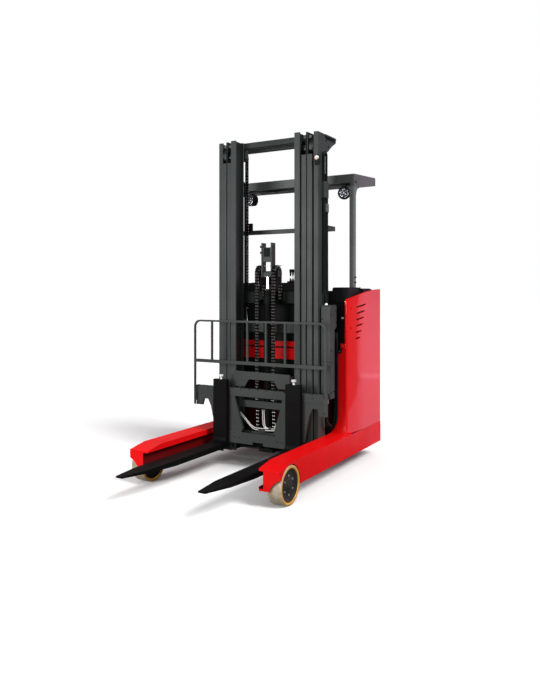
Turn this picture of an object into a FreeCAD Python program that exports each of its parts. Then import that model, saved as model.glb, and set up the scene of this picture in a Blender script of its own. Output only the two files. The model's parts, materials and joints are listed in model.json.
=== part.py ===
import FreeCAD, Part
import math
import os

# Stand-on electric reach truck. Millimetres; +X is the truck's left, the forks point to -Y
# and Z is up from the floor. The origin is on the floor under the middle of the truck.

V = FreeCAD.Vector
X_AXIS = V(1, 0, 0)
Y_AXIS = V(0, 1, 0)
Z_AXIS = V(0, 0, 1)

# ---- driving dimensions ----
overall_width = 1186.0
fork_tip_y = -1057.0
body_rear_y = 1057.0
mast_height = 2497.0
guard_height = 2235.0
body_height = 1349.0

# clearances
running_clearance = 0.05        # radial, pins and shafts in their bores
seat_gap = 0.3                  # rollers, wheels and caps beside what carries them
face_gap = 0.5                  # plates that meet face to face
wall_gap = 3.0                  # cylinders and rollers beside a web or plate
slide_gap = 6.0                 # between mast stages and other moving pieces

# straddle legs
leg_front_y = -641.0
leg_axle_wall = 11.0            # leg wall behind the load wheel
leg_flange = 35.0
leg_top = 268.0
leg_bottom = 107.0
leg_top_flange = 40.0
leg_low_flange = 14.0
leg_lip = 10.0                  # upstand on the tip of the lower flange
leg_lip_width = 8.0
leg_bevel_length = 150.0
leg_bevel_drop = 27.0
leg_end_chamfer = 8.0
leg_end_reach = 41.0            # end plate reaches this far across in front of the wheel
leg_end_low = 184.0             # height of the end plate at its outer edge

# load wheels, in pockets at the front of the legs
load_axle_y = -500.0
load_wheel_radius = 125.0
load_wheel_width = 98.0
load_hub_radius = 105.0
load_hub_recess = 6.0
axle_radius = 20.0
axle_collar = 14.0
arch_gap = 9.0                  # between the wheel and the wall behind it
arch_clearance = 6.0            # round the tread

# chassis and body
mast_to_body = 37.0             # room for the reach-rod lug behind the mast
plate = 12.0
panel = 18.0                    # body side wall
panel_top_front = 1252.0
panel_brow = (12.0, 20.0)       # start of the top's curve: behind the front edge, and above its top
panel_crown = (330.0, 76.0)     # a point on that curve, measured the same way
panel_edge_radius = 14.0
panel_toe_in = 25.0             # how far the side wall's front stands inside the legs' outer face
return_waist = 82.0             # width of the front return at its narrow part
return_foot = 131.0             # and where it stands on the leg
return_shoulder = (905.0, 893.0, 850.0)     # heights of the curve that narrows it
return_flare = (500.0, 395.0)               # heights of the curve that widens it again
rear_setback = 7.0              # body's rear ahead of the legs' ends
crossbeam_low = 800.0
crossbeam_high = 940.0
crossbeam_depth = 20.0
chassis_plate_top = 610.0
bulkhead_low = 630.0
bulkhead_setback = 30.0
battery_length = 215.0
battery_height = 540.0
battery_floor = 232.0
battery_side_gap = 20.0
battery_end_gap = 6.0
platform_top = 250.0
mat_thickness = 8.0
mat_border = 12.0
drive_bay_x = 130.0             # inner wall of the drive compartment
dash_base = 84.0
dash_side_rise = 26.0           # raised ends of the dashboard, which the guard posts stand on
dash_side_width = 132.0
dash_height = 1400.0

# cooling slots in the side panels
louvre_count = 6
louvre_pitch = 48.0
louvre_top = 1205.0
louvre_setback = 142.0
louvre_step = 3.0
louvre_length = 165.0
louvre_shrink = 19.0
louvre_height = 13.0
louvre_slope = 0.12

# drive wheel and caster
drive_x = 302.0
drive_wheel_radius = 125.0
drive_wheel_width = 80.0
drive_hub_radius = 90.0
drive_hub_recess = 4.0
turntable_radius = 130.0
turntable_z = 292.0
turntable_thickness = 20.0
turntable_gap = 9.0
drive_motor_radius = 85.0
drive_motor_height = 260.0
gearbox_width = 28.0
gearbox_half_length = 52.0
caster_x = -300.0
caster_radius = 75.0
caster_width = 40.0
caster_split = 4.0              # between the two caster wheels
caster_trail = 38.0
caster_stem_radius = 26.0
caster_stem_length = 44.0
caster_bearing_radius = 52.0
caster_pin_radius = 10.0
caster_cheek = 8.0

# steering wheel and levers
steer_x = 340.0
steer_setback = 130.0
steer_rim_radius = 92.0
steer_rim_thickness = 11.0
steer_hub_radius = 28.0
steer_column_radius = 34.0
lever_count = 3
lever_pitch = 22.0
lever_radius = 5.0
lever_length = 85.0
lever_knob_radius = 11.0

# mast
mast_front_y = 181.0            # front of the inner rails
rail_stagger = 17.0             # each stage further out stands this much further back
rail_depth = 120.0
rail_flange_thickness = 14.0
rail_web = 12.0
outer_rail_width = 36.0
middle_rail_width = 85.0
inner_rail_width = 44.0
outer_rail_bottom = 75.0
middle_rail_bottom = 95.0
inner_rail_bottom = 105.0
rail_window = 165.0             # height at the top where the middle rail's front flange is cut away
middle_groove = 10.0            # groove down the middle rail's front
middle_groove_width = 8.0
roller_pin_radius = 14.0
roller_from_top = 100.0
roller_from_bottom = 70.0

# crossmembers: lower ones as (low, high), top ones down from the mast's top
bar_thickness = 22.0
outer_bar_thickness = 18.0
outer_low_bars = ((1010.0, 1080.0), (460.0, 560.0))
tie_bar_rise = 390.0            # tie bar above the dashboard's hump
tie_bar_height = 35.0
tie_bar_depth = 20.0
top_bar_drop = 43.0
top_bar_height = 25.0
top_bar_depth = 50.0
gusset_reach = 185.0            # top gusset behind the outer rail
bracket_plate = 8.0
middle_bar_height = 42.0
middle_low_bar = (130.0, 220.0)
inner_top_bar_height = 42.0
inner_low_bars = ((1240.0, 1330.0), (116.0, 200.0))

# lift cylinders behind the outer rails
lift_cylinder_radius = 24.0
lift_rod_radius = 16.0
lift_cylinder_drop = 297.0
lift_cylinder_foot = 112.0
lift_rod_foot = 40.0

# chains that draw up the inner stage
mast_chain_x = 306.0
mast_chain_width = 28.0
mast_chain_thickness = 10.0
mast_chain_foot = 240.0
mast_pulley_radius = 38.0
mast_pulley_width = 34.0
mast_pulley_axle = 12.0
mast_pulley_drop = 92.0

# free-lift cylinder in the middle of the inner stage
free_cylinder_radius = 36.0
free_rod_radius = 24.0
free_cylinder_foot = 140.0
free_cylinder_top = 1340.0
free_cylinder_setback = 57.0    # its axis ahead of the inner rails' backs
free_rod_foot = 60.0
chain_x = 71.0
chain_width = 30.0
chain_thickness = 12.0
chain_anchor_z = 500.0
pulley_radius = 46.0
pulley_width = 34.0
pulley_axle_radius = 16.0
pulley_z = 1470.0
crosshead_half_width = 100.0
crosshead_top = 1700.0

# hose cover beside the left outer rail
cover_low = 550.0
cover_high = 1232.0
cover_step = 1050.0
cover_depth = 108.0
cover_low_depth = 72.0
cover_gap = 12.0
cover_width = 76.0

# hoses beside the left outer rail
hose_radius = 9.0
hose_bend = 22.0
hose_loop = 44.2                # between the two runs of the looped hose
hose_x = 444.0
hose_y = 290.0
hose_top = 2357.0
hose_end_z = 2020.0
clamp_height = 120.0

# reach cylinder on the truck's centre line
reach_cylinder_radius = 30.0
reach_rod_radius = 15.0
reach_cylinder_z = 172.0
reach_cylinder_cap = 20.0
reach_rear_gap = 8.0

# fork carriage
carriage_front_y = 86.0
side_plate = 24.0
side_plate_gap = 14.0           # beside the inner rails
side_plate_low = 170.0
side_plate_top = 700.0
bridge_top = 726.0
bridge_low = 612.0
tilt_gap = 66.0                 # room behind the face for its tilt
bridge_setback = 26.0           # bridge plate ahead of the cross plates
bridge_thickness = 18.0
tilt_pin_z = 640.0
tilt_pin_radius = 12.0
tilt_pin_setback = 14.0
tilt_ram_x = 150.0
tilt_ram_z = 229.0
tilt_ram_radius = 24.0
tilt_ram_length = 100.0
tilt_rod_radius = 14.0
tilt_rod_reach = 80.0           # how far the rod reaches into its barrel
carriage_roller_z = (240.0, 590.0)

# carriage face
face_thickness = 26.0
face_half_width = 560.0
upper_bar_low = 542.0
upper_bar_high = 603.0
lower_bar_low = 188.0
lower_bar_high = 270.0
notch_count = 15
notch_pitch = 75.0
notch_width = 12.0
notch_depth = 8.0

# forks
fork_outboard = 57.0            # fork's middle outside the inner rail's edge
fork_width = 120.0
fork_thickness = 40.0
fork_tip_thickness = 12.0
fork_tip_cut = 34.0
fork_tip_taper = 220.0
fork_wedge = 500.0
fork_top = 664.0
fork_heel_low = 150.0
fork_heel_radius = 45.0
hook_width = 60.0
hook_lip = 6.0
hook_height = 26.0

# load backrest
backrest_top = 1112.0
backrest_low = 455.0
backrest_half_width = 567.0
backrest_bar = 14.0
backrest_plate = 14.0
backrest_stand_off = 22.0
backrest_bar_low = 784.0
backrest_bar_high = 808.0
backrest_corner = 55.0
backrest_bar_count = 8

# overhead guard
post_inset = 63.0
post_setback = 196.0
post_size = 42.0
roof_rear_y = 1050.0
roof_front_depth = 65.0
roof_side_depth = 94.0          # side plates at the posts
roof_rear_rise = 28.0           # rear edge above the front
roof_rear_depth = 66.0
roof_knee = 70.0                # where the side plates begin to taper, behind the posts
roof_rail = 32.0
roof_slat_count = 7
roof_slat_width = 24.0
headlamp_x = 423.0
headlamp_radius = 51.0
headlamp_depth = 55.0
headlamp_rim = 6.0
headlamp_setback = 75.0         # front of the lamp behind the roof's front
headlamp_drop = 130.0           # middle of the lamp below the roof's top
headlamp_turn = 25.0            # each lamp looks this far outwards
lamp_bar = 12.0
lamp_bar_drop = 74.0

# ---- derived places ----
leg_outer = overall_width / 2
pocket_x = leg_outer - load_wheel_width - arch_gap
leg_web = pocket_x - leg_axle_wall
leg_tip = leg_web - leg_flange
channel_low = leg_bottom + leg_low_flange
channel_high = leg_top - leg_top_flange
channel_mid = (channel_low + channel_high) / 2

outer_x1 = leg_tip - slide_gap - 1.0
outer_x0 = outer_x1 - outer_rail_width
middle_x1 = outer_x0 - slide_gap
middle_x0 = middle_x1 - middle_rail_width
middle_mid = (middle_x0 + middle_x1) / 2
inner_x1 = middle_x0 - slide_gap
inner_x0 = inner_x1 - inner_rail_width
inner_mid = (inner_x0 + inner_x1) / 2
middle_front_y = mast_front_y + rail_stagger
outer_front_y = middle_front_y + rail_stagger
inner_y1 = mast_front_y + rail_depth
middle_y1 = middle_front_y + rail_depth
outer_y1 = outer_front_y + rail_depth
inner_mid_y = mast_front_y + rail_depth / 2
middle_mid_y = middle_front_y + rail_depth / 2
outer_mid_y = outer_front_y + rail_depth / 2

inner_bar_y0 = inner_y1 + 8.0
inner_bar_y1 = inner_bar_y0 + bar_thickness
mast_chain_y0 = inner_bar_y1 + wall_gap
mast_chain_y1 = mast_chain_y0 + mast_chain_thickness
middle_bar_y0 = mast_chain_y1 + wall_gap
middle_bar_y1 = middle_bar_y0 + bar_thickness
outer_bar_y0 = middle_bar_y1 + slide_gap
outer_bar_y1 = outer_bar_y0 + outer_bar_thickness
mast_pulley_y = mast_chain_y1 + seat_gap + mast_pulley_radius
mast_pulley_z = mast_height - mast_pulley_drop
lift_cylinder_x = outer_x1 - 13.0 - lift_cylinder_radius
lift_cylinder_y = outer_y1 + wall_gap + lift_cylinder_radius
lift_block_x = lift_cylinder_x - lift_cylinder_radius - wall_gap
lift_cylinder_top = mast_height - lift_cylinder_drop
tie_bar_y1 = outer_y1 + gusset_reach - 10.0
tie_bar_low = dash_height + tie_bar_rise
free_cylinder_y = inner_y1 - free_cylinder_setback

body_front_y = outer_bar_y1 + mast_to_body
panel_inner = leg_outer - panel - face_gap
bulkhead_y = body_front_y + bulkhead_setback
battery_y0 = bulkhead_y + plate + battery_end_gap
battery_y1 = battery_y0 + battery_length
knee_y = battery_y1 + plate
bay_front_y = knee_y + panel
panel_flat_y = bay_front_y - panel
bay_rear_y = body_rear_y - plate
drive_y = bay_front_y + turntable_radius + turntable_gap
caster_y = drive_y
caster_crown_z = 2 * caster_radius + 12.0
shelf_z = turntable_z + turntable_thickness + plate
cover_top = body_height - 79.0
inner_cover_top = body_height + 5.0
steer_y = knee_y + steer_setback
steer_low = cover_top + 26.0
post_x = leg_outer - post_inset
post_y = body_front_y + post_setback
roof_front_y = post_y - post_size / 2

face_back_y = carriage_front_y + face_thickness
plate_front_y = face_back_y + tilt_gap
bridge_back_y = plate_front_y - bridge_setback
bridge_front_y = bridge_back_y - bridge_thickness
tilt_pin_y = plate_front_y + tilt_pin_setback
side_plate_x1 = inner_x0 - side_plate_gap
side_plate_x0 = side_plate_x1 - side_plate
fork_x = inner_x0 + fork_outboard


# ---- shape helpers ----
def box(x0, x1, y0, y1, z0, z1):
    return Part.makeBox(x1 - x0, y1 - y0, z1 - z0, V(x0, y0, z0))


def side_box(side, x0, x1, y0, y1, z0, z1):
    """Box between x0 and x1 on the left (side 1) or mirrored to the right (side -1)."""
    if side > 0:
        return box(x0, x1, y0, y1, z0, z1)
    return box(-x1, -x0, y0, y1, z0, z1)


def cylinder(start, axis, radius, length):
    return Part.makeCylinder(radius, length, start, axis)


def tube(start, axis, outer, inner, length):
    return cylinder(start, axis, outer, length).cut(cylinder(start, axis, inner, length))


def prism(points, direction):
    wire = Part.makePolygon(points + [points[0]])
    return Part.Face(wire).extrude(direction)


def prism_along_x(outline, x0, x1):
    return prism([V(x0, y, z) for y, z in outline], V(x1 - x0, 0, 0))


def prism_along_y(outline, y0, y1):
    return prism([V(x, y0, z) for x, z in outline], V(0, y1 - y0, 0))


def prism_along_z(outline, z0, z1):
    return prism([V(x, y, z0) for x, y in outline], V(0, 0, z1 - z0))


def joined(shapes):
    return shapes[0].multiFuse(shapes[1:]).removeSplitter()


def mirrored(shape):
    return shape.mirror(V(0, 0, 0), X_AXIS)


def edges_along(shape, axis):
    straight = [e for e in shape.Edges if e.Curve.TypeId == "Part::GeomLine"]
    return [e for e in straight if abs(abs(e.Curve.Direction.dot(axis)) - 1) < 1e-6]


def rounded_box(x0, x1, y0, y1, z0, z1, axis, radius):
    block = box(x0, x1, y0, y1, z0, z1)
    return block.makeFillet(radius, edges_along(block, axis))


def save(node, shapes):
    shape = shapes[0] if len(shapes) == 1 else Part.makeCompound(shapes)
    shape.exportStep("parts/" + node + ".step")


def save_both(node, left):
    """One node with a piece on each side."""
    save(node, [left, mirrored(left)])


def save_pair(node, left):
    """A left node and a right node."""
    save(node + "_left", [left])
    save(node + "_right", [mirrored(left)])


# ---- legs and load wheels ----
def straddle_leg():
    lip_x = leg_tip + leg_lip_width
    lip_z = channel_low + leg_lip
    section = [
        (leg_web, channel_low), (lip_x, channel_low), (lip_x, lip_z), (leg_tip, lip_z),
        (leg_tip, leg_bottom), (leg_outer, leg_bottom), (leg_outer, leg_top),
        (leg_tip, leg_top), (leg_tip, channel_high), (leg_web, channel_high),
    ]
    leg = prism_along_y(section, leg_front_y, body_rear_y)
    bevel = prism_along_x(
        [(leg_front_y, leg_top - leg_bevel_drop), (leg_front_y + leg_bevel_length, leg_top),
         (leg_front_y, leg_top)],
        leg_tip, leg_outer)
    corner = prism_along_z(
        [(leg_tip, leg_front_y), (leg_tip + leg_end_chamfer, leg_front_y),
         (leg_tip, leg_front_y + leg_end_chamfer)],
        leg_bottom, leg_top)
    arch = cylinder(V(pocket_x, load_axle_y, load_wheel_radius), X_AXIS,
                    load_wheel_radius + arch_clearance, leg_outer - pocket_x)
    end_x = leg_web + leg_end_reach
    sweep = leg_outer - end_x
    rise = leg_end_low - leg_bottom
    edge = Part.Arc(V(end_x, leg_front_y, leg_bottom),
                    V(end_x + 0.38 * sweep, leg_front_y, leg_bottom + 0.60 * rise),
                    V(leg_outer, leg_front_y, leg_end_low)).toShape()
    below = Part.makePolygon([V(leg_outer, leg_front_y, leg_end_low),
                              V(leg_outer, leg_front_y, leg_bottom),
                              V(end_x, leg_front_y, leg_bottom)])
    scoop = Part.Face(Part.Wire([edge] + below.Edges)).extrude(V(0, load_axle_y - leg_front_y, 0))
    axle_hole = cylinder(V(leg_web, load_axle_y, load_wheel_radius), X_AXIS,
                         axle_radius + running_clearance, leg_axle_wall)
    return leg.cut(Part.makeCompound([bevel, corner])).cut(arch).cut(scoop).cut(axle_hole)


def load_axle():
    start_x = leg_web + 1.0
    end_x = leg_outer - load_hub_recess - 1.0
    stub = cylinder(V(start_x, load_axle_y, load_wheel_radius), X_AXIS, axle_radius, end_x - start_x)
    collar = cylinder(V(pocket_x + seat_gap, load_axle_y, load_wheel_radius), X_AXIS,
                      axle_radius + axle_collar, arch_gap - 2 * seat_gap)
    return joined([stub, collar])


def wheel(centre, tyre_radius, hub_radius, bore_radius, width, recess):
    """Tyre and hub of a wheel that turns about X."""
    start = V(centre.x - width / 2, centre.y, centre.z)
    tyre = tube(start, X_AXIS, tyre_radius, hub_radius, width)
    hub_start = V(start.x + recess, centre.y, centre.z)
    hub = tube(hub_start, X_AXIS, hub_radius, bore_radius, width - 2 * recess)
    return tyre, hub


def legs_and_load_wheels():
    save_both("straddle_legs", straddle_leg())
    save_both("load_wheel_axles", load_axle())
    centre = V(leg_outer - load_wheel_width / 2, load_axle_y, load_wheel_radius)
    tyre, hub = wheel(centre, load_wheel_radius, load_hub_radius, axle_radius + running_clearance,
                      load_wheel_width, load_hub_recess)
    save_pair("load_wheel_tyre", tyre)
    save_pair("load_wheel_hub", hub)


# ---- chassis and body ----
def chassis_floor():
    """Floor plate with round openings for the drive wheel and the caster."""
    drive_swing = math.hypot(drive_wheel_radius, drive_wheel_width / 2) + 14.0
    caster_swing = caster_trail + caster_radius + 18.0
    floor = box(-leg_tip, leg_tip, body_front_y, body_rear_y, leg_bottom, leg_bottom + plate)
    drive_hole = cylinder(V(drive_x, drive_y, leg_bottom), Z_AXIS, drive_swing, plate)
    caster_hole = cylinder(V(caster_x, caster_y, leg_bottom), Z_AXIS, caster_swing, plate)
    return floor.cut(drive_hole).cut(caster_hole)


def battery_tray():
    x = leg_tip - battery_side_gap / 2
    foot_x0 = x - 80.0
    foot_x1 = foot_x0 + 40.0
    low = battery_floor - plate
    tray = box(-x, x, battery_y0 - 4, battery_y1 + 4, low, battery_floor)
    feet = [side_box(s, foot_x0, foot_x1, battery_y0, battery_y1, leg_bottom + plate, low)
            for s in (-1, 1)]
    return joined([tray] + feet)


def drive_bay():
    """Wall and shelf of the drive compartment, with the turntable's bearing ring."""
    bore = drive_motor_radius + slide_gap
    ring_low = turntable_z + turntable_thickness + seat_gap
    wall = box(drive_bay_x, drive_bay_x + plate, bay_front_y, bay_rear_y, leg_bottom,
               shelf_z + plate)
    shelf = box(drive_bay_x, leg_web, bay_front_y, bay_rear_y, shelf_z, shelf_z + plate)
    shelf = shelf.cut(cylinder(V(drive_x, drive_y, shelf_z), Z_AXIS, bore, plate))
    ring = tube(V(drive_x, drive_y, ring_low), Z_AXIS, turntable_radius, bore, shelf_z - ring_low)
    return [wall, shelf, ring]


def chassis_frame():
    front_y1 = body_front_y + plate
    front_low = box(-leg_tip, leg_tip, body_front_y, front_y1, leg_bottom, leg_top)
    half = leg_outer - return_foot - panel_toe_in - face_gap
    front_high = box(-half, half, body_front_y, front_y1, leg_top, chassis_plate_top)
    rear = box(-leg_tip, leg_tip, bay_rear_y, body_rear_y, leg_bottom, platform_top - plate)
    rod_hole = cylinder(V(0, body_front_y, reach_cylinder_z), Y_AXIS, reach_cylinder_radius + 4.0,
                        plate)
    pieces = [chassis_floor(), front_low, front_high, rear, battery_tray()] + drive_bay()
    return joined(pieces).cut(rod_hole)


def chassis_crossbeam():
    y0 = body_front_y + 4.0
    x = wall_x(body_front_y, 0.0) - return_waist - face_gap
    groove_depth = 6.0
    groove_height = 12.0
    groove_z = crossbeam_high - 53.0
    beam = box(-x, x, y0, y0 + crossbeam_depth, crossbeam_low, crossbeam_high)
    groove = box(-x, x, y0, y0 + groove_depth, groove_z, groove_z + groove_height)
    return beam.cut(groove)


def wall_radius():
    """Radius of the side wall's front part, seen from above."""
    run = panel_flat_y - body_front_y
    return (run ** 2 + panel_toe_in ** 2) / (2 * panel_toe_in)


def wall_x(y, inset):
    """Half-width of the side wall's outer face, less inset, at a place along the truck."""
    if y >= panel_flat_y:
        return leg_outer - inset
    radius = wall_radius()
    return leg_outer - radius + math.sqrt((radius - inset) ** 2 - (panel_flat_y - y) ** 2)


def wall_plan():
    """Side wall seen from above, straight at the rear and curved in towards the front."""
    front = body_front_y
    middle = (front + panel_flat_y) / 2
    rear = body_rear_y - rear_setback
    corners = []
    edges = []
    for inset in (0.0, panel):
        a, b, c = [V(wall_x(y, inset), y, leg_top) for y in (front, middle, panel_flat_y)]
        end = V(leg_outer - inset, rear, leg_top)
        edges += [Part.Arc(a, b, c).toShape(), Part.makeLine(c, end)]
        corners += [a, end]
    edges += [Part.makeLine(corners[0], corners[2]), Part.makeLine(corners[1], corners[3])]
    return Part.Wire(Part.sortEdges(edges)[0])


def wall_profile():
    """Side wall seen along X, with its top rising to the rear."""
    front = body_front_y
    rear = body_rear_y - rear_setback
    brow = V(0, front + panel_brow[0], panel_top_front + panel_brow[1])
    crown = V(0, front + panel_crown[0], panel_top_front + panel_crown[1])
    top_rear = V(0, rear, body_height)
    outline = [top_rear, V(0, rear, leg_top), V(0, front, leg_top), V(0, front, panel_top_front + 6),
               brow]
    edges = Part.makePolygon(outline).Edges + [Part.Arc(brow, crown, top_rear).toShape()]
    return Part.Face(Part.Wire(edges)).extrude(V(leg_outer, 0, 0))


def front_return():
    """Plate across the wall's front end: a narrow waist that flares inward down to the leg."""
    y = body_front_y
    outer = wall_x(y, 0.0)
    seam = outer - 2.0
    head = outer - panel + 3.0
    waist = outer - return_waist
    foot = leg_outer - return_foot - panel_toe_in
    middle = (head + waist) / 2
    across = (head, middle, waist)
    shoulder = [V(x, y, z) for x, z in zip(across, return_shoulder)]
    flare = [V(waist + 9, y, return_flare[0]), V(waist - 8, y, return_flare[1]), V(foot, y, leg_top)]
    edges = [
        Part.makeLine(V(seam, y, leg_top), V(seam, y, return_shoulder[0])),
        Part.makeLine(V(seam, y, return_shoulder[0]), shoulder[0]),
        Part.Arc(*shoulder).toShape(),
        Part.makeLine(shoulder[2], flare[0]),
        Part.Arc(*flare).toShape(),
        Part.makeLine(flare[2], V(seam, y, leg_top)),
    ]
    return Part.Face(Part.Wire(edges)).extrude(V(0, panel, 0))


def louvre_slots():
    slots = []
    for i in range(louvre_count):
        z = louvre_top - i * louvre_pitch
        y0 = body_front_y + louvre_setback - i * louvre_step
        y1 = y0 + louvre_length - i * louvre_shrink
        rise = (y1 - y0) * louvre_slope
        slots.append(prism_along_x(
            [(y0, z), (y1, z + rise), (y1, z + rise + louvre_height), (y0, z + louvre_height)],
            leg_outer - 3 * panel, leg_outer))
    return slots


def body_side():
    """Left side panel: a wall that curves in towards the front, and its front return."""
    wall = Part.Face(wall_plan()).extrude(V(0, 0, body_height)).common(wall_profile())
    side = joined([wall, front_return()])
    front = [e for e in edges_along(side, Z_AXIS)
             if e.BoundBox.YMax < body_front_y + 0.01 and e.BoundBox.XMin > wall_x(body_front_y, 1.0)]
    side = side.makeFillet(panel_edge_radius, front)
    return side.cut(Part.makeCompound(louvre_slots()))


def bulkhead():
    """Black front wall of the operator compartment and battery bay."""
    x = wall_x(bulkhead_y, panel) - face_gap
    return box(-x, x, bulkhead_y, bulkhead_y + plate, bulkhead_low, panel_top_front - 4.0)


def battery():
    x = leg_tip - battery_side_gap
    corner = 12.0
    return rounded_box(-x, x, battery_y0, battery_y1, battery_floor,
                       battery_floor + battery_height, Z_AXIS, corner)


def knee_panel():
    return box(-panel_inner, panel_inner, knee_y, bay_front_y, leg_top, panel_top_front - 4.0)


def dashboard():
    """Flat top over the battery bay, with the instrument hump on the operator's side."""
    low = panel_top_front
    high = low + dash_base
    y0 = bulkhead_y + panel
    y1 = bay_front_y
    hump_x0 = -panel_inner + 130.0
    hump_x1 = drive_bay_x - 20.0
    hump_front = y0 - panel
    half = wall_x(y0, panel) - face_gap
    base = box(-half, half, y0, y1, low, high)
    hump = prism_along_x(
        [(hump_front, high), (hump_front + 20, dash_height), (hump_front + 110, dash_height),
         (y1, high + 12), (y1, high)],
        hump_x0, hump_x1)
    top = high + dash_side_rise
    side_x = half - dash_side_width
    side = prism_along_y([(side_x, high), (side_x, top - 10), (side_x + 10, top), (half, top), (half, high)],
                         y0, y1)
    return joined([base, hump, side, mirrored(side)])


def drive_cover():
    """Upright cover round the drive motor, its top and the steering column."""
    low = shelf_z + plate
    wall = box(drive_bay_x, drive_bay_x + plate, bay_front_y, bay_rear_y, low, cover_top)
    top = box(drive_bay_x, panel_inner, bay_front_y, bay_rear_y, cover_top - plate, cover_top)
    column = cylinder(V(steer_x, steer_y, cover_top), Z_AXIS, steer_column_radius,
                      steer_low - seat_gap - cover_top)
    inner = prism_along_x(
        [(bay_front_y, cover_top), (bay_front_y, inner_cover_top), (bay_rear_y - 185, inner_cover_top),
         (bay_rear_y - 85, inner_cover_top - 16), (bay_rear_y - 85, cover_top)],
        panel_inner - 84, panel_inner)
    return joined([wall, top, column, inner])


def rear_cover():
    return box(drive_bay_x, panel_inner, bay_rear_y, body_rear_y - rear_setback, leg_top + 2.0,
               cover_top)


def platform():
    """Floor the operator stands on, with the caster's swivel bearing welded below it."""
    low = platform_top - plate
    bearing_z = caster_crown_z + plate + slide_gap
    floor = box(-leg_tip, drive_bay_x, bay_front_y, bay_rear_y, low, platform_top)
    bearing = tube(V(caster_x, caster_y, bearing_z), Z_AXIS, caster_bearing_radius,
                   caster_stem_radius + running_clearance, low - bearing_z)
    return joined([floor, bearing])


def platform_mat():
    return box(-leg_tip + mat_border, drive_bay_x - mat_border, bay_front_y + mat_border,
               bay_rear_y - mat_border, platform_top, platform_top + mat_thickness)


def lean_pad():
    thickness = 70.0
    low = 760.0
    high = 1180.0
    corner = 35.0
    x0 = -(leg_outer - panel) + seat_gap
    return rounded_box(x0, x0 + thickness, bay_front_y + 72.0, bay_rear_y - 30.0, low, high,
                       X_AXIS, corner)


def body():
    save("chassis_frame", [chassis_frame()])
    save("chassis_crossbeam", [chassis_crossbeam()])
    save_both("body_sides", body_side())
    save("front_bulkhead", [bulkhead()])
    save("battery", [battery()])
    save("knee_panel", [knee_panel()])
    save("dashboard", [dashboard()])
    save("drive_cover", [drive_cover()])
    save("rear_cover", [rear_cover()])
    save("operator_platform", [platform()])
    save("platform_mat", [platform_mat()])
    save("lean_pad", [lean_pad()])


# ---- drive unit, caster and controls ----
def drive_unit():
    """Turntable with the motor above it and the gearbox and axle of the drive wheel below."""
    gearbox_x1 = drive_x - drive_wheel_width / 2 - slide_gap
    gearbox_corner = 30.0
    axle_length = drive_wheel_width + slide_gap - drive_hub_recess
    disc = cylinder(V(drive_x, drive_y, turntable_z), Z_AXIS, turntable_radius, turntable_thickness)
    motor = cylinder(V(drive_x, drive_y, turntable_z + turntable_thickness), Z_AXIS,
                     drive_motor_radius, drive_motor_height)
    gearbox = rounded_box(gearbox_x1 - gearbox_width, gearbox_x1, drive_y - gearbox_half_length,
                          drive_y + gearbox_half_length, drive_wheel_radius - gearbox_half_length,
                          turntable_z, X_AXIS, gearbox_corner)
    axle = cylinder(V(gearbox_x1, drive_y, drive_wheel_radius), X_AXIS, axle_radius, axle_length)
    return joined([disc, motor, gearbox, axle])


def caster_fork():
    axle_y = caster_y + caster_trail
    half = caster_width + caster_split + slide_gap
    cheek_end = 24.0
    crown = box(caster_x - half - caster_cheek, caster_x + half + caster_cheek,
                caster_y - caster_stem_radius - 8.0, axle_y + cheek_end, caster_crown_z,
                caster_crown_z + plate)
    left_cheek = box(caster_x + half, caster_x + half + caster_cheek, axle_y - cheek_end,
                     axle_y + cheek_end, caster_radius - 14.0, caster_crown_z)
    right_cheek = left_cheek.translated(V(-2 * half - caster_cheek, 0, 0))
    stem = cylinder(V(caster_x, caster_y, caster_crown_z + plate), Z_AXIS, caster_stem_radius,
                    caster_stem_length)
    pin = cylinder(V(caster_x - half, axle_y, caster_radius), X_AXIS, caster_pin_radius, 2 * half)
    return joined([crown, stem, pin, left_cheek, right_cheek])


def caster_wheels():
    """Two wheels side by side on the caster's pin."""
    wheels = []
    for s in (-1, 1):
        middle = caster_x + s * (caster_width + caster_split) / 2
        start = V(middle - caster_width / 2, caster_y + caster_trail, caster_radius)
        wheels.append(tube(start, X_AXIS, caster_radius, caster_pin_radius + running_clearance,
                           caster_width))
    return wheels


def steering_wheel():
    rim_z = steer_low + 16.0
    hub_height = 26.0
    spoke_radius = 7.0
    spoke_angles = (90, 210, 330)
    grip_radius = 16.0
    grip_height = 24.0
    centre = V(steer_x, steer_y, rim_z)
    rim = Part.makeTorus(steer_rim_radius, steer_rim_thickness, centre, Z_AXIS)
    hub = cylinder(V(steer_x, steer_y, steer_low), Z_AXIS, steer_hub_radius, hub_height)
    grip = cylinder(V(steer_x, steer_y + steer_rim_radius, rim_z), Z_AXIS, grip_radius, grip_height)
    spokes = []
    for degrees in spoke_angles:
        angle = math.radians(degrees)
        direction = V(math.cos(angle), math.sin(angle), 0)
        spokes.append(cylinder(V(steer_x, steer_y, rim_z - 2.0), direction, spoke_radius,
                               steer_rim_radius - 2.0))
    return joined([rim, hub, grip] + spokes)


def lever_bank():
    """Control levers on a plinth on top of the instrument hump."""
    width = 90.0
    depth = 60.0
    height = 12.0
    x0 = drive_bay_x - 20.0 - width
    y0 = bulkhead_y + 40.0
    top = dash_height + height
    base = box(x0, x0 + width, y0, y0 + depth, dash_height, top)
    sticks = []
    for i in range(lever_count):
        foot = V(x0 + 18.0 + lever_pitch * i, y0 + depth / 2, top)
        sticks.append(cylinder(foot, Z_AXIS, lever_radius, lever_length))
        sticks.append(Part.makeSphere(lever_knob_radius, foot + V(0, 0, lever_length)))
    return joined([base] + sticks)


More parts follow.
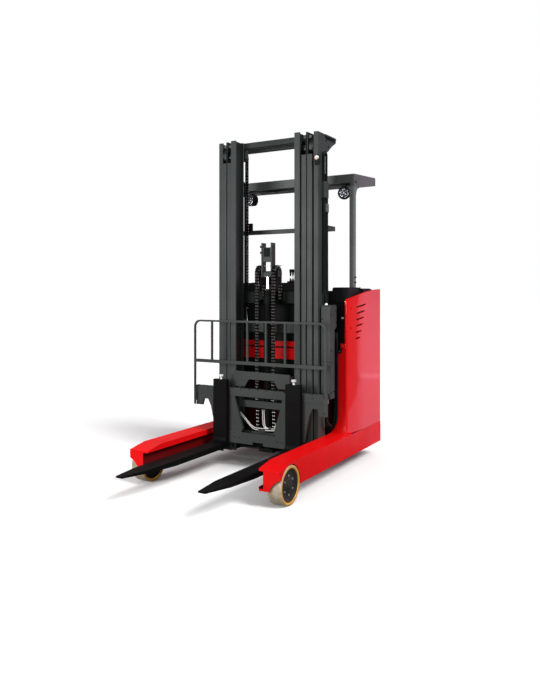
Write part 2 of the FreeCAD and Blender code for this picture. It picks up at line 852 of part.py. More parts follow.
def drive_and_controls():
    save("drive_unit", [drive_unit()])
    centre = V(drive_x, drive_y, drive_wheel_radius)
    tyre, hub = wheel(centre, drive_wheel_radius, drive_hub_radius, axle_radius + running_clearance,
                      drive_wheel_width, drive_hub_recess)
    save("drive_wheel_tyre", [tyre])
    save("drive_wheel_hub", [hub])
    save("caster_fork", [caster_fork()])
    save("caster_wheels", caster_wheels())
    save("steering_wheel", [steering_wheel()])
    save("control_levers", [lever_bank()])


# ---- overhead guard and headlamps ----
def guard_post():
    """Post from the dashboard to the roof, with a gusset behind its head."""
    half = post_size / 2
    corner = 8.0
    top = guard_height - roof_side_depth
    back = post_y + half - 2.0
    x1 = post_x + half
    post = rounded_box(post_x - half, x1, post_y - half, post_y + half,
                       panel_top_front + dash_base + dash_side_rise, top, Z_AXIS, corner)
    gusset = prism_along_x(
        [(back, top - 75), (back + 8, top - 46), (back + 26, top - 18), (back + roof_knee, top),
         (back, top)],
        x1 - roof_rail, x1 - 2.0)
    return joined([post, gusset])


def guard_roof():
    """Open roof frame, higher at the rear, with slats along the truck."""
    x1 = post_x + post_size / 2
    inner = x1 - roof_rail
    top = guard_height
    rear_top = top + roof_rear_rise
    front_y1 = roof_front_y + 34.0
    rear_y0 = roof_rear_y - 40.0
    slat_low = top - 34.0
    slat_high = top - 12.0
    knee_y1 = post_y + post_size / 2 + roof_knee
    lamp_y = roof_front_y + headlamp_setback + (headlamp_depth - lamp_bar) / 2
    side = prism_along_x(
        [(roof_front_y, top - roof_side_depth), (knee_y1, top - roof_side_depth),
         (roof_rear_y, rear_top - roof_rear_depth), (roof_rear_y, rear_top), (roof_front_y, top)],
        inner, x1)
    corner = [e for e in edges_along(side, X_AXIS)
              if e.BoundBox.YMin > roof_rear_y - 1 and e.BoundBox.ZMin > top]
    side = side.makeFillet(12.0, corner)
    front = box(-x1, x1, roof_front_y, front_y1, top - roof_front_depth, top)
    rear = box(-inner, inner, rear_y0, roof_rear_y, rear_top - roof_rear_depth, rear_top - 6)
    carrier = box(-inner, inner, lamp_y, lamp_y + lamp_bar, top - lamp_bar_drop, slat_low)
    pitch = 2 * inner / (roof_slat_count + 1)
    slats = []
    for i in range(roof_slat_count):
        middle = -inner + pitch * (i + 1)
        slats.append(box(middle - roof_slat_width / 2, middle + roof_slat_width / 2, front_y1,
                         rear_y0, slat_low, slat_high))
    return joined([side, mirrored(side), front, rear, carrier] + slats)


def headlamp():
    """Round lamp hung from the bar across the roof; returns its housing and its lens."""
    hollow_depth = 14.0
    lens_inset = 6.0
    lens_thickness = hollow_depth - lens_inset
    hanger_half = 12.0
    z = guard_height - headlamp_drop
    y0 = roof_front_y + headlamp_setback
    middle_y = y0 + headlamp_depth / 2
    can = cylinder(V(headlamp_x, y0, z), Y_AXIS, headlamp_radius, headlamp_depth)
    hollow = cylinder(V(headlamp_x, y0, z), Y_AXIS, headlamp_radius - headlamp_rim, hollow_depth)
    lens = cylinder(V(headlamp_x, y0 + lens_inset, z), Y_AXIS, headlamp_radius - headlamp_rim,
                    lens_thickness)
    pivot = V(headlamp_x, middle_y, z)
    housing = can.cut(hollow)
    housing.rotate(pivot, Z_AXIS, headlamp_turn)
    lens.rotate(pivot, Z_AXIS, headlamp_turn)
    stud = box(headlamp_x - hanger_half, headlamp_x + hanger_half, middle_y - lamp_bar / 2,
               middle_y + lamp_bar / 2, z + headlamp_radius - headlamp_rim, guard_height - lamp_bar_drop)
    return joined([housing, stud]), lens


def overhead_guard():
    save_both("guard_posts", guard_post())
    save("guard_roof", [guard_roof()])
    housing, lens = headlamp()
    save_both("headlamps", housing)
    save_both("headlamp_lenses", lens)


# ---- mast ----
def rail(x0, x1, front_y, web_x0, low, high):
    """Rail with two flanges and one web, so a channel or an I-section."""
    y1 = front_y + rail_depth
    t = rail_flange_thickness
    return joined([box(x0, x1, front_y, front_y + t, low, high),
                   box(x0, x1, y1 - t, y1, low, high),
                   box(web_x0, web_x0 + rail_web, front_y, y1, low, high)])


def stub_roller(x0, x1, pin_end, y, z):
    """Guide roller between x0 and x1, with its pin out to the rail web that carries it."""
    radius = rail_depth / 2 - rail_flange_thickness - seat_gap
    disc = cylinder(V(x0, y, z), X_AXIS, radius, x1 - x0)
    near = x1 if pin_end > x1 else x0
    ends = sorted([pin_end, near])
    return disc.fuse(cylinder(V(ends[0], y, z), X_AXIS, roller_pin_radius, ends[1] - ends[0]))


def outer_bars():
    """Bars of the outer stage, behind the other stages' bars."""
    x = outer_x1 - bracket_plate
    bars = [box(-lift_block_x, lift_block_x, outer_bar_y0, outer_bar_y1, low, high)
            for low, high in outer_low_bars]
    top_low = mast_height - top_bar_drop
    bars.append(box(-x, x, tie_bar_y1 - tie_bar_depth, tie_bar_y1, tie_bar_low,
                    tie_bar_low + tie_bar_height))
    bars.append(box(-x, x, tie_bar_y1 - top_bar_depth, tie_bar_y1, top_low,
                    top_low + top_bar_height))
    return bars


def outer_brackets():
    """Plates that carry the outer stage's bars, clear of the lift cylinders."""
    x0 = outer_x1 - bracket_plate
    top = mast_height
    gusset = prism_along_x(
        [(outer_y1, top - 165), (outer_y1, top), (outer_y1 + gusset_reach, top),
         (outer_y1 + gusset_reach, top - 38), (tie_bar_y1 - 55, top - 72),
         (outer_y1 + 55, top - 120), (outer_y1 + 18, top - 140)],
        x0, outer_x1)
    arm = box(x0, outer_x1, outer_y1, tie_bar_y1 + 6.0, tie_bar_low, tie_bar_low + tie_bar_height)
    hole = cylinder(V(lift_cylinder_x, lift_cylinder_y, 0), Z_AXIS, lift_cylinder_radius + seat_gap,
                    mast_height)
    blocks = [box(lift_block_x, outer_x1, outer_y1, outer_bar_y1, low, high).cut(hole)
              for low, high in outer_low_bars]
    left = [gusset, arm] + blocks
    return left + [mirrored(b) for b in left] + [hose_clamp()]


def outer_mast():
    left = rail(outer_x0, outer_x1, outer_front_y, outer_x1 - rail_web, outer_rail_bottom,
                mast_height)
    save_both("outer_rails", left)
    save("outer_mast_crossmembers", outer_bars())
    save("outer_mast_brackets", outer_brackets())
    web_x = middle_mid + rail_web / 2 + wall_gap + face_gap
    top = stub_roller(web_x, outer_x0 - 4.0, outer_x1 - rail_web, middle_mid_y,
                      mast_height - roller_from_top)
    save_both("outer_mast_rollers", top)


def mast_base():
    """Foot of the outer mast: crossbox behind the rails, side plates and the reach-rod lug."""
    shelf = 16.0
    back_height = 240.0
    side_height = 250.0
    lug_half = 20.0
    lug_half_height = 24.0
    lug_depth = 18.0
    low = lift_cylinder_foot
    cross = box(-outer_x1, outer_x1, outer_y1, outer_bar_y1, low - shelf, low)
    back = box(-lift_block_x, lift_block_x, outer_bar_y1 - 14.0, outer_bar_y1, low, back_height)
    lug = rounded_box(-lug_half, lug_half, outer_bar_y1, outer_bar_y1 + lug_depth,
                      reach_cylinder_z - lug_half_height, reach_cylinder_z + lug_half_height,
                      X_AXIS, 6.0)
    sides = [side_box(s, outer_x1 - bracket_plate, outer_x1, outer_y1, outer_bar_y1, low,
                      side_height) for s in (-1, 1)]
    return joined([cross, back, lug] + sides)


def reach_rollers():
    """Rollers that carry the mast in the channels of the legs."""
    radius = (channel_high - channel_low) / 2 - seat_gap
    x0 = leg_tip + leg_lip_width + wall_gap
    x1 = leg_web - wall_gap
    first_y = outer_front_y + 55.0
    rollers = []
    for y in (first_y, first_y + 2 * radius + 4.0):
        disc = cylinder(V(x0, y, channel_mid), X_AXIS, radius, x1 - x0)
        pin = cylinder(V(outer_x1, y, channel_mid), X_AXIS, roller_pin_radius, x0 - outer_x1)
        roller = disc.fuse(pin)
        rollers += [roller, mirrored(roller)]
    return rollers


def lift_cylinders():
    """Side lift cylinders: barrels on the outer stage, rods under the middle stage's top bar."""
    low = lift_cylinder_foot
    rod_low = low + lift_rod_foot
    rod_top = mast_height - middle_bar_height
    barrel = tube(V(lift_cylinder_x, lift_cylinder_y, low), Z_AXIS, lift_cylinder_radius,
                  lift_rod_radius + running_clearance, lift_cylinder_top - low)
    rod = cylinder(V(lift_cylinder_x, lift_cylinder_y, rod_low), Z_AXIS, lift_rod_radius,
                   rod_top - rod_low)
    return barrel, rod


def middle_rail():
    """Middle rail: grooved front, with windows beside the web at its head."""
    left = rail(middle_x0, middle_x1, middle_front_y, middle_mid - rail_web / 2,
                middle_rail_bottom, mast_height)
    flange_y = middle_front_y + rail_flange_thickness
    window_low = mast_height - rail_window
    groove = box(middle_mid - middle_groove_width / 2, middle_mid + middle_groove_width / 2,
                 middle_front_y, middle_front_y + middle_groove, middle_rail_bottom, mast_height)
    windows = [box(middle_x0, middle_mid - rail_web / 2, middle_front_y, flange_y, window_low,
                   mast_height),
               box(middle_mid + rail_web / 2, middle_x1, middle_front_y, flange_y, window_low,
                   mast_height)]
    return left.cut(Part.makeCompound([groove] + windows))


def pulley_cheeks(side):
    """Cheeks and axle that carry one mast chain pulley."""
    cheek = 8.0
    half = mast_pulley_width / 2 + 4.0
    reach = 18.0
    x = side * mast_chain_x
    inner_cheek = box(x - half - cheek, x - half, middle_bar_y0, mast_pulley_y + reach,
                      mast_pulley_z - reach, mast_height)
    outer_cheek = inner_cheek.translated(V(2 * half + cheek, 0, 0))
    axle = cylinder(V(x - half, mast_pulley_y, mast_pulley_z), X_AXIS, mast_pulley_axle, 2 * half)
    return [inner_cheek, outer_cheek, axle]


def middle_bars():
    """Top and bottom bars of the middle stage, with the heads the lift rods push."""
    block_half = 24.0
    block_x = middle_x0 + 32.0
    top_low = mast_height - middle_bar_height
    low, high = middle_low_bar
    reach = lift_block_x - slide_gap
    head_y0 = lift_cylinder_y - lift_rod_radius
    head_y1 = lift_cylinder_y + lift_rod_radius
    head_x1 = lift_cylinder_x + lift_rod_radius
    top_pieces = [box(-reach, reach, middle_bar_y0, middle_bar_y1, top_low, mast_height)]
    low_pieces = [box(-reach, reach, middle_bar_y0, middle_bar_y1, low, high)]
    for s in (-1, 1):
        top_pieces.append(side_box(s, block_x - block_half, block_x + block_half, middle_y1,
                                   middle_bar_y0, top_low, mast_height))
        low_pieces.append(side_box(s, block_x - block_half, block_x + block_half, middle_y1,
                                   middle_bar_y0, low, high))
        top_pieces.append(side_box(s, reach - 10.0, head_x1, head_y0, head_y1, top_low,
                                   mast_height))
        top_pieces += pulley_cheeks(s)
    return [joined(top_pieces), joined(low_pieces)]


def middle_rollers():
    """Top rollers for the inner stage, bottom rollers in the outer rails, and chain pulleys."""
    top = stub_roller(inner_mid + rail_web / 2 + wall_gap, middle_x0 - 2.0,
                      middle_mid - rail_web / 2, inner_mid_y, mast_height - roller_from_top)
    bottom = stub_roller(outer_x0 + 2.0, outer_x1 - rail_web - wall_gap, middle_mid + rail_web / 2,
                         outer_mid_y, middle_rail_bottom + roller_from_bottom)
    pulley = tube(V(mast_chain_x - mast_pulley_width / 2, mast_pulley_y, mast_pulley_z), X_AXIS,
                  mast_pulley_radius, mast_pulley_axle + running_clearance, mast_pulley_width)
    left = [top, bottom, pulley]
    return left + [mirrored(r) for r in left]


def middle_mast():
    save_both("middle_rails", middle_rail())
    save("middle_mast_crossmembers", middle_bars())
    save("middle_mast_rollers", middle_rollers())
    half = mast_chain_width / 2
    chain = box(mast_chain_x - half, mast_chain_x + half, mast_chain_y0, mast_chain_y1,
                mast_chain_foot, mast_pulley_z)
    save_both("mast_chains", chain)


def inner_bar(low, high):
    tab_half = 20.0
    tab_x = inner_x0 + tab_half
    bar = box(-inner_x1, inner_x1, inner_bar_y0, inner_bar_y1, low, high)
    tabs = [side_box(s, tab_x - tab_half, tab_x + tab_half, inner_y1, inner_bar_y0, low, high)
            for s in (-1, 1)]
    return joined([bar] + tabs)


def inner_bars():
    """Bars of the inner stage; the lower two hold the free-lift cylinder."""
    top_low = mast_height - inner_top_bar_height
    collar_wall = 5.0
    collar_height = 50.0
    foot_half = 60.0
    foot_reach = 40.0
    middle_low, middle_high = inner_low_bars[0]
    foot_low, foot_high = inner_low_bars[1]
    axis = V(0, free_cylinder_y, middle_low)
    hole_radius = free_cylinder_radius + seat_gap
    top = inner_bar(top_low, mast_height)
    middle = inner_bar(middle_low, middle_high)
    middle = middle.cut(cylinder(axis, Z_AXIS, hole_radius, middle_high - middle_low))
    collar = tube(axis, Z_AXIS, free_cylinder_radius + collar_wall, hole_radius, collar_height)
    arm = box(-foot_half / 2, foot_half / 2, free_cylinder_y, inner_bar_y0, middle_low,
              middle_low + collar_height)
    arm = arm.cut(cylinder(axis, Z_AXIS, hole_radius, collar_height))
    foot = box(-foot_half, foot_half, free_cylinder_y - foot_reach, inner_bar_y0, foot_low,
               free_cylinder_foot)
    return [top, joined([middle, collar, arm]), joined([inner_bar(foot_low, foot_high), foot])]


def inner_mast():
    left = rail(inner_x0, inner_x1, mast_front_y, inner_mid - rail_web / 2, inner_rail_bottom,
                mast_height)
    save_both("inner_rails", left)
    save("inner_mast_crossmembers", inner_bars())
    bottom = stub_roller(inner_x1 + 9.0, middle_mid - rail_web / 2 - wall_gap - face_gap,
                         inner_mid + rail_web / 2, middle_mid_y,
                         inner_rail_bottom + roller_from_bottom)
    save_both("inner_mast_rollers", bottom)


def chain_crosshead():
    """Head of the free-lift rod: block, tall cheeks, and the axle of the two chain pulleys."""
    y = free_cylinder_y
    w = crosshead_half_width
    block_half = 18.0
    block_low = pulley_z - 30.0
    block_high = block_low + 26.0
    cheek_x0 = 36.0
    cheek = 10.0
    end_plate = 8.0
    pulley_room = 3.0
    block = box(-w, w, y - block_half, y + block_half, block_low, block_high)
    axle = cylinder(V(-w, y, pulley_z), X_AXIS, pulley_axle_radius, 2 * w)
    bridge = box(-cheek_x0 - cheek, cheek_x0 + cheek, y - 24, y + 24, crosshead_top - 145,
                 crosshead_top - 35)
    room = []
    sides = []
    for s in (-1, 1):
        start = V(s * chain_x - pulley_width / 2 - 2.0, y, pulley_z)
        room.append(cylinder(start, X_AXIS, pulley_radius + pulley_room, pulley_width + 4.0))
        sides.append(side_box(s, cheek_x0, cheek_x0 + cheek, y - 30, y + 28, block_low,
                              crosshead_top))
        sides.append(side_box(s, w - end_plate, w, y - block_half, y + block_half, block_low,
                              pulley_z + 20))
    return joined([block.cut(Part.makeCompound(room)), axle, bridge] + sides)


def free_lift():
    y = free_cylinder_y
    low = free_cylinder_foot
    rod_low = low + free_rod_foot
    block_low = pulley_z - 30.0
    barrel = tube(V(0, y, low), Z_AXIS, free_cylinder_radius, free_rod_radius + running_clearance,
                  free_cylinder_top - low)
    rod = cylinder(V(0, y, rod_low), Z_AXIS, free_rod_radius, block_low - rod_low)
    pulley = tube(V(chain_x - pulley_width / 2, y, pulley_z), X_AXIS, pulley_radius,
                  pulley_axle_radius + running_clearance, pulley_width)
    chain_y1 = y - pulley_radius - seat_gap
    chain = box(chain_x - chain_width / 2, chain_x + chain_width / 2, chain_y1 - chain_thickness,
                chain_y1, chain_anchor_z + seat_gap, pulley_z)
    save("free_lift_barrel", [barrel])
    save("free_lift_rod", [rod])
    save("chain_crosshead", [chain_crosshead()])
    save_both("chain_pulleys", pulley)
    save_both("lift_chains", chain)


def side_cover():
    """Hose cover beside the left outer rail, stepped at the back, on two brackets."""
    x0 = outer_x1 + cover_gap
    x1 = x0 + cover_width
    y0 = outer_front_y + 25.0
    chamfer = 10.0
    bracket_height = 60.0
    bracket_z = (700.0, 1080.0)
    outline = [
        (y0, cover_low), (y0 + cover_low_depth, cover_low), (y0 + cover_low_depth, cover_step),
        (y0 + cover_depth, cover_step + 20), (y0 + cover_depth, cover_high - chamfer),
        (y0 + cover_depth - chamfer, cover_high), (y0 + chamfer, cover_high),
        (y0, cover_high - 27),
    ]
    brackets = [box(outer_x1, x0, y0 + 20, y0 + 60, z, z + bracket_height) for z in bracket_z]
    return joined([prism_along_x(outline, x0, x1)] + brackets)


def rounded_path(points, radius):
    """Wire through points whose corners are arcs."""
    edges = []
    start = points[0]
    for before, corner, after in zip(points, points[1:], points[2:]):
        way_in = (corner - before).normalize()
        way_out = (after - corner).normalize()
        half_turn = way_in.getAngle(way_out) / 2
        cut = radius * math.tan(half_turn)
        inward = (way_out - way_in).normalize()
        first = corner - way_in * cut
        last = corner + way_out * cut
        middle = corner + inward * (radius / math.cos(half_turn) - radius)
        edges += [Part.makeLine(start, first), Part.Arc(first, middle, last).toShape()]
        start = last
    edges.append(Part.makeLine(start, points[-1]))
    return Part.Wire(edges)


def hose(points):
    path = rounded_path(points, hose_bend)
    ring = Part.Wire(Part.makeCircle(hose_radius, points[0], points[1] - points[0]))
    return path.makePipeShell([ring], True, False)


def mast_hoses():
    """Lift hoses: one loops over at the mast's head, one runs down to the lift cylinder."""
    top_x = hose_x + 20.0
    low_x = hose_x + 34.0
    low_y = outer_front_y + 60.0
    port_z = 330.0
    back_y = hose_y + hose_loop
    upper = [
        V(top_x, hose_y, cover_high + seat_gap), V(top_x, hose_y, cover_high + 50),
        V(hose_x, hose_y, cover_high + 110), V(hose_x, hose_y, hose_top),
        V(hose_x, back_y, hose_top), V(hose_x, back_y, hose_end_z),
    ]
    lower = [
        V(low_x, low_y, cover_low - seat_gap), V(low_x, low_y, port_z + 40),
        V(low_x, lift_cylinder_y, port_z),
        V(lift_cylinder_x + lift_cylinder_radius + seat_gap, lift_cylinder_y, port_z),
    ]
    return [hose(upper), hose(lower)]


def hose_clamp():
    """Block on the rail's side that grips both runs of the looped hose."""
    back_y = hose_y + hose_loop
    edge = hose_radius + 4.0
    block = box(outer_x1, hose_x + edge, hose_y - edge, back_y + edge, hose_end_z,
                hose_end_z + clamp_height)
    grips = [cylinder(V(hose_x, y, hose_end_z), Z_AXIS, hose_radius + seat_gap, clamp_height)
             for y in (hose_y, back_y)]
    return block.cut(Part.makeCompound(grips))


def mast():
    outer_mast()
    save("mast_base", [mast_base()])
    save("reach_rollers", reach_rollers())
    barrel, rod = lift_cylinders()
    save_both("lift_cylinder_barrels", barrel)
    save_both("lift_cylinder_rods", rod)
    middle_mast()
    inner_mast()
    free_lift()
    save("mast_side_cover", [side_cover()])
    save("mast_hoses", mast_hoses())


def reach_cylinder():
    """Cylinder in the chassis whose rod pushes the mast base forward."""
    foot_half = 24.0
    lug_depth = 18.0
    y0 = body_front_y - wall_gap
    y1 = bay_rear_y - reach_rear_gap - reach_cylinder_cap
    rod_y0 = outer_bar_y1 + lug_depth
    barrel = tube(V(0, y0, reach_cylinder_z), Y_AXIS, reach_cylinder_radius,
                  reach_rod_radius + running_clearance, y1 - y0)
    cap = cylinder(V(0, y1, reach_cylinder_z), Y_AXIS, reach_cylinder_radius, reach_cylinder_cap)
    foot = box(-foot_half, foot_half, y1 - 10, y1 + reach_cylinder_cap, leg_bottom + plate,
               reach_cylinder_z - 20)
    rod = cylinder(V(0, rod_y0, reach_cylinder_z), Y_AXIS, reach_rod_radius, y1 - 10 - rod_y0)
    save("reach_cylinder_barrel", [joined([barrel, cap, foot])])
    save("reach_rod", [rod])


# ---- fork carriage ----
def bridge_plate():
    """Plate over the top of the face, with a wide notch in its lower edge."""
    x1 = side_plate_x1
    notch_low = 145.0
    notch_high = 108.0
    notch_top = bridge_low + 56.0
    corner = 8.0
    outline = [
        (-x1, bridge_low), (-notch_low, bridge_low), (-notch_high, notch_top),
        (notch_high, notch_top), (notch_low, bridge_low), (x1, bridge_low),
        (x1, bridge_top - 14), (x1 - corner, bridge_top - 6), (-x1 + corner, bridge_top),
        (-x1, bridge_top - 6),
    ]
    return prism_along_y(outline, bridge_front_y, bridge_back_y)


def fork_carriage():
    """Carriage in the inner rails: side plates, cross plates, bridge plate and chain anchors."""
    y0 = plate_front_y
    y1 = y0 + 20.0
    bar_low = chain_anchor_z - 50.0
    ram_half = 40.0
    x0 = side_plate_x0
    x1 = side_plate_x1
    pieces = [
        bridge_plate(),
        box(-x0, x0, y0, y1, bar_low, chain_anchor_z),
        box(-x0, x0, y0, y1, tilt_ram_z - ram_half, tilt_ram_z + ram_half),
    ]
    for s in (-1, 1):
        pieces.append(side_box(s, x0, x1, y0, free_cylinder_y + 10, side_plate_low, side_plate_top))
        pieces.append(side_box(s, x0, x1, bridge_front_y, y0, bridge_low, side_plate_top))
    holes = [cylinder(V(-x1, tilt_pin_y, tilt_pin_z), X_AXIS, tilt_pin_radius + running_clearance,
                      2 * x1)]
    holes += [cylinder(V(s * tilt_ram_x, y0, tilt_ram_z), Y_AXIS, tilt_ram_radius, y1 - y0)
              for s in (-1, 1)]
    return joined(pieces).cut(Part.makeCompound(holes))


def carriage_rollers():
    web_x = inner_mid - rail_web / 2 - 2.0
    rollers = []
    for z in carriage_roller_z:
        left = stub_roller(side_plate_x1 + 2.0, web_x, side_plate_x1, inner_mid_y, z)
        rollers += [left, mirrored(left)]
    return rollers


def tilt_cylinders():
    """Short rams that push the foot of the face; their round ends only rest against it."""
    barrel = tube(V(tilt_ram_x, plate_front_y, tilt_ram_z), Y_AXIS, tilt_ram_radius,
                  tilt_rod_radius + running_clearance, tilt_ram_length)
    tip = V(tilt_ram_x, face_back_y + seat_gap + tilt_rod_radius, tilt_ram_z)
    rod = cylinder(tip, Y_AXIS, tilt_rod_radius, plate_front_y + tilt_rod_reach - tip.y)
    rod = rod.fuse(Part.makeSphere(tilt_rod_radius, tip))
    save_both("tilt_cylinder_barrels", barrel)
    save_both("tilt_cylinder_rods", rod)


def face_bars():
    """Upper bar with its fork notches, and the lower bar."""
    y0 = carriage_front_y
    y1 = face_back_y
    w = face_half_width
    lower_half = fork_x + 45.0
    clean_out_half = 45.0
    clean_out_height = 20.0
    upper = box(-w, w, y0, y1, upper_bar_low, upper_bar_high)
    notches = []
    for i in range(notch_count):
        x = (i - (notch_count - 1) / 2) * notch_pitch
        notches.append(box(x - notch_width / 2, x + notch_width / 2, y0, y1,
                           upper_bar_high - notch_depth, upper_bar_high))
    lower = box(-lower_half, lower_half, y0, y1, lower_bar_low, lower_bar_high)
    lower = lower.cut(box(-clean_out_half, clean_out_half, y0, y1, lower_bar_low,
                          lower_bar_low + clean_out_height))
    return [upper.cut(Part.makeCompound(notches)), lower]


def face_side():
    """Left web between the bars, its outboard bracket, and the hinge ear with its pin."""
    y0 = carriage_front_y + 4.0
    y1 = face_back_y
    web_x1 = fork_x + 37.0
    web = prism_along_y(
        [(fork_x - 163, lower_bar_high), (web_x1, lower_bar_high), (web_x1, upper_bar_low),
         (fork_x - 108, upper_bar_low), (fork_x - 125, 470), (fork_x - 178, 300)], y0, y1)
    bracket_low = 255.0
    hook_low = 450.0
    bracket = prism_along_y(
        [(fork_x + 32, upper_bar_low), (fork_x + 32, bracket_low), (fork_x + 72, bracket_low),
         (fork_x + 85, 330), (fork_x + 112, hook_low), (fork_x + 139, 500), (fork_x + 179, 498),
         (fork_x + 192, hook_low), (face_half_width, hook_low), (face_half_width, upper_bar_low)],
        y0, y1)
    ear_x1 = side_plate_x0 - wall_gap
    ear_x0 = ear_x1 - 16.0
    ear_back = tilt_pin_y + 22.0
    ear_low = upper_bar_low + 10.0
    ear_top = tilt_pin_z + 24.0
    clear_y = bridge_back_y + 10.0          # keeps the ear clear of the bridge plate
    neck_top = bridge_low - 15.0
    ear = prism_along_x(
        [(y1, ear_low), (ear_back, ear_low), (ear_back, ear_top), (clear_y, ear_top),
         (clear_y, neck_top), (y1, neck_top)], ear_x0, ear_x1)
    pin = cylinder(V(ear_x0, tilt_pin_y, tilt_pin_z), X_AXIS, tilt_pin_radius,
                   side_plate_x1 - ear_x0)
    return [web, bracket, ear, pin]


def carriage_face():
    """Front plate the forks hang on, hinged to the carriage near its top."""
    left = face_side()
    return joined(face_bars() + left + [mirrored(s) for s in left])


def load_backrest():
    y0 = carriage_front_y - backrest_stand_off
    y1 = y0 + backrest_plate
    w = backrest_half_width
    inner_w = w - backrest_bar
    inner_top = backrest_top - backrest_bar
    outer = box(-w, w, y0, y1, backrest_low, backrest_top)
    corners = [e for e in edges_along(outer, Y_AXIS) if e.BoundBox.ZMin > backrest_top - 1]
    outer = outer.makeFillet(backrest_corner, corners)
    hole = box(-inner_w, inner_w, y0, y1, backrest_low, inner_top)
    corners = [e for e in edges_along(hole, Y_AXIS) if e.BoundBox.ZMin > inner_top - 1]
    hole = hole.makeFillet(backrest_corner - backrest_bar, corners)
    low_bar = box(-w, w, y0, y1, backrest_bar_low, backrest_bar_high)
    pitch = (2 * w - backrest_bar) / (backrest_bar_count - 1)
    uprights = []
    for i in range(1, backrest_bar_count - 1):
        x = -w + pitch * i
        uprights.append(box(x, x + backrest_bar, y0, y1, backrest_bar_low, backrest_top - 4.0))
    foot_x0 = w - backrest_bar
    foot_low = upper_bar_low - 60.0
    feet = [side_box(s, foot_x0, w - 2.0, y1, carriage_front_y, foot_low, upper_bar_high)
            for s in (-1, 1)]
    return joined([outer.cut(hole), low_bar] + uprights + feet)


def fork():
    """Left fork: shank, heel, tapered blade, and the hooks over the face's bars."""
    half = fork_width / 2
    back = carriage_front_y - face_gap
    front = back - fork_thickness
    blade_top = fork_heel_low + fork_thickness
    r = fork_heel_radius
    bend = 0.3 * r
    profile = [
        (back, fork_heel_low), (back, fork_top), (front, fork_top), (front, blade_top + r),
        (front - bend, blade_top + bend), (front - r, blade_top), (fork_tip_y, blade_top),
        (fork_tip_y, blade_top - fork_tip_thickness), (fork_tip_y + fork_wedge, fork_heel_low),
    ]
    blade = prism_along_x(profile, fork_x - half, fork_x + half)
    cuts = []
    for s in (-1, 1):
        edge = fork_x + s * half
        cuts.append(prism_along_z(
            [(edge, fork_tip_y), (edge, fork_tip_y + fork_tip_taper),
             (edge - s * fork_tip_cut, fork_tip_y)], 0, blade_top + r))
    x0 = fork_x - hook_width / 2
    x1 = fork_x + hook_width / 2
    lip0 = face_back_y + face_gap
    lip1 = lip0 + hook_lip
    top_z = upper_bar_high + face_gap
    low_z = lower_bar_low - face_gap
    hooks = [
        box(x0, x1, back, lip1, top_z, upper_bar_high + hook_height),
        box(x0, x1, lip0, lip1, upper_bar_high - hook_height, upper_bar_high + 1),
        box(x0, x1, back, lip1, low_z - 22.0, low_z),
        box(x0, x1, lip0, lip1, low_z - 22.0, lower_bar_low + hook_height),
    ]
    return joined([blade.cut(Part.makeCompound(cuts))] + hooks)


def carriage():
    save("fork_carriage", [fork_carriage()])
    save("carriage_rollers", carriage_rollers())
    tilt_cylinders()
    save("carriage_face", [carriage_face()])
    save("load_backrest", [load_backrest()])
    save_both("forks", fork())


os.makedirs("parts", exist_ok=True)
legs_and_load_wheels()
body()
drive_and_controls()
overhead_guard()
mast()
reach_cylinder()
carriage()
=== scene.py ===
import bpy
import bmesh
import json
import math
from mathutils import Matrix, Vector
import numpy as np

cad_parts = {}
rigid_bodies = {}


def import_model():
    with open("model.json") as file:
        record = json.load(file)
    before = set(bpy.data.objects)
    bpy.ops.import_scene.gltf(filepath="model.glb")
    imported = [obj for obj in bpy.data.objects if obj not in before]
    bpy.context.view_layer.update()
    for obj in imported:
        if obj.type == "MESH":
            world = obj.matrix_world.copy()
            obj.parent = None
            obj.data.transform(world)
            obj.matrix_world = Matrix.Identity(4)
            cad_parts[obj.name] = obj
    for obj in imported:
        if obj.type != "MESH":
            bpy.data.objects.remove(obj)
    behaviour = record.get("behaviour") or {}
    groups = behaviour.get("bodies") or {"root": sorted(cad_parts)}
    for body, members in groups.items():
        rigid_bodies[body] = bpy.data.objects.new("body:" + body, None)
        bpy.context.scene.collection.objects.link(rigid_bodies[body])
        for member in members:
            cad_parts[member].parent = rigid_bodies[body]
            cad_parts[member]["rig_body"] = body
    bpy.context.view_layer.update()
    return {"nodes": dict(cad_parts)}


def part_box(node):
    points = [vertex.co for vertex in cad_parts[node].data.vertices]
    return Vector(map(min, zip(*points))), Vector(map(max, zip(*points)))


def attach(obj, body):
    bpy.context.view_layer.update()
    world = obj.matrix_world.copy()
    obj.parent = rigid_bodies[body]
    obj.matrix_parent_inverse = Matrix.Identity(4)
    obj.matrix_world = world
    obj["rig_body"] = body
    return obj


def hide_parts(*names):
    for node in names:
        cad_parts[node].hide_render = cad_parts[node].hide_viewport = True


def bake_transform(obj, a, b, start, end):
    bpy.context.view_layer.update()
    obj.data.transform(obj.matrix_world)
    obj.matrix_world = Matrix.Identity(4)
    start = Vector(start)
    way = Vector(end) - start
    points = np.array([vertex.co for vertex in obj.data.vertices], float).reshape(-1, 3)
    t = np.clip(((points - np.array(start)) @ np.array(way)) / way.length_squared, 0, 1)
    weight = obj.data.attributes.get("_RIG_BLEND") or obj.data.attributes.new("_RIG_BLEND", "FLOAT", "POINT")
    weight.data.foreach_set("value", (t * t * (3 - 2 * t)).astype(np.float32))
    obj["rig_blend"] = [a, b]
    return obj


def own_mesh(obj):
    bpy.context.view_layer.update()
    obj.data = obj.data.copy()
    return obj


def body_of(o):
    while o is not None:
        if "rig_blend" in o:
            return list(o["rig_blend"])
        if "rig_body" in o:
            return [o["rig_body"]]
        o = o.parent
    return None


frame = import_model()
scene = bpy.context.scene
bothSides = ((1, "left"), (-1, "right"))
up, forward, rearward, leftward = (0, 0, 1), (0, -1, 0), (0, 1, 0), (1, 0, 0)
print("frame loaded:", len(frame["nodes"]), "nodes")


# meshes
def addObject(name, data):
    piece = bpy.data.objects.new(name, data)
    scene.collection.objects.link(piece)
    return piece


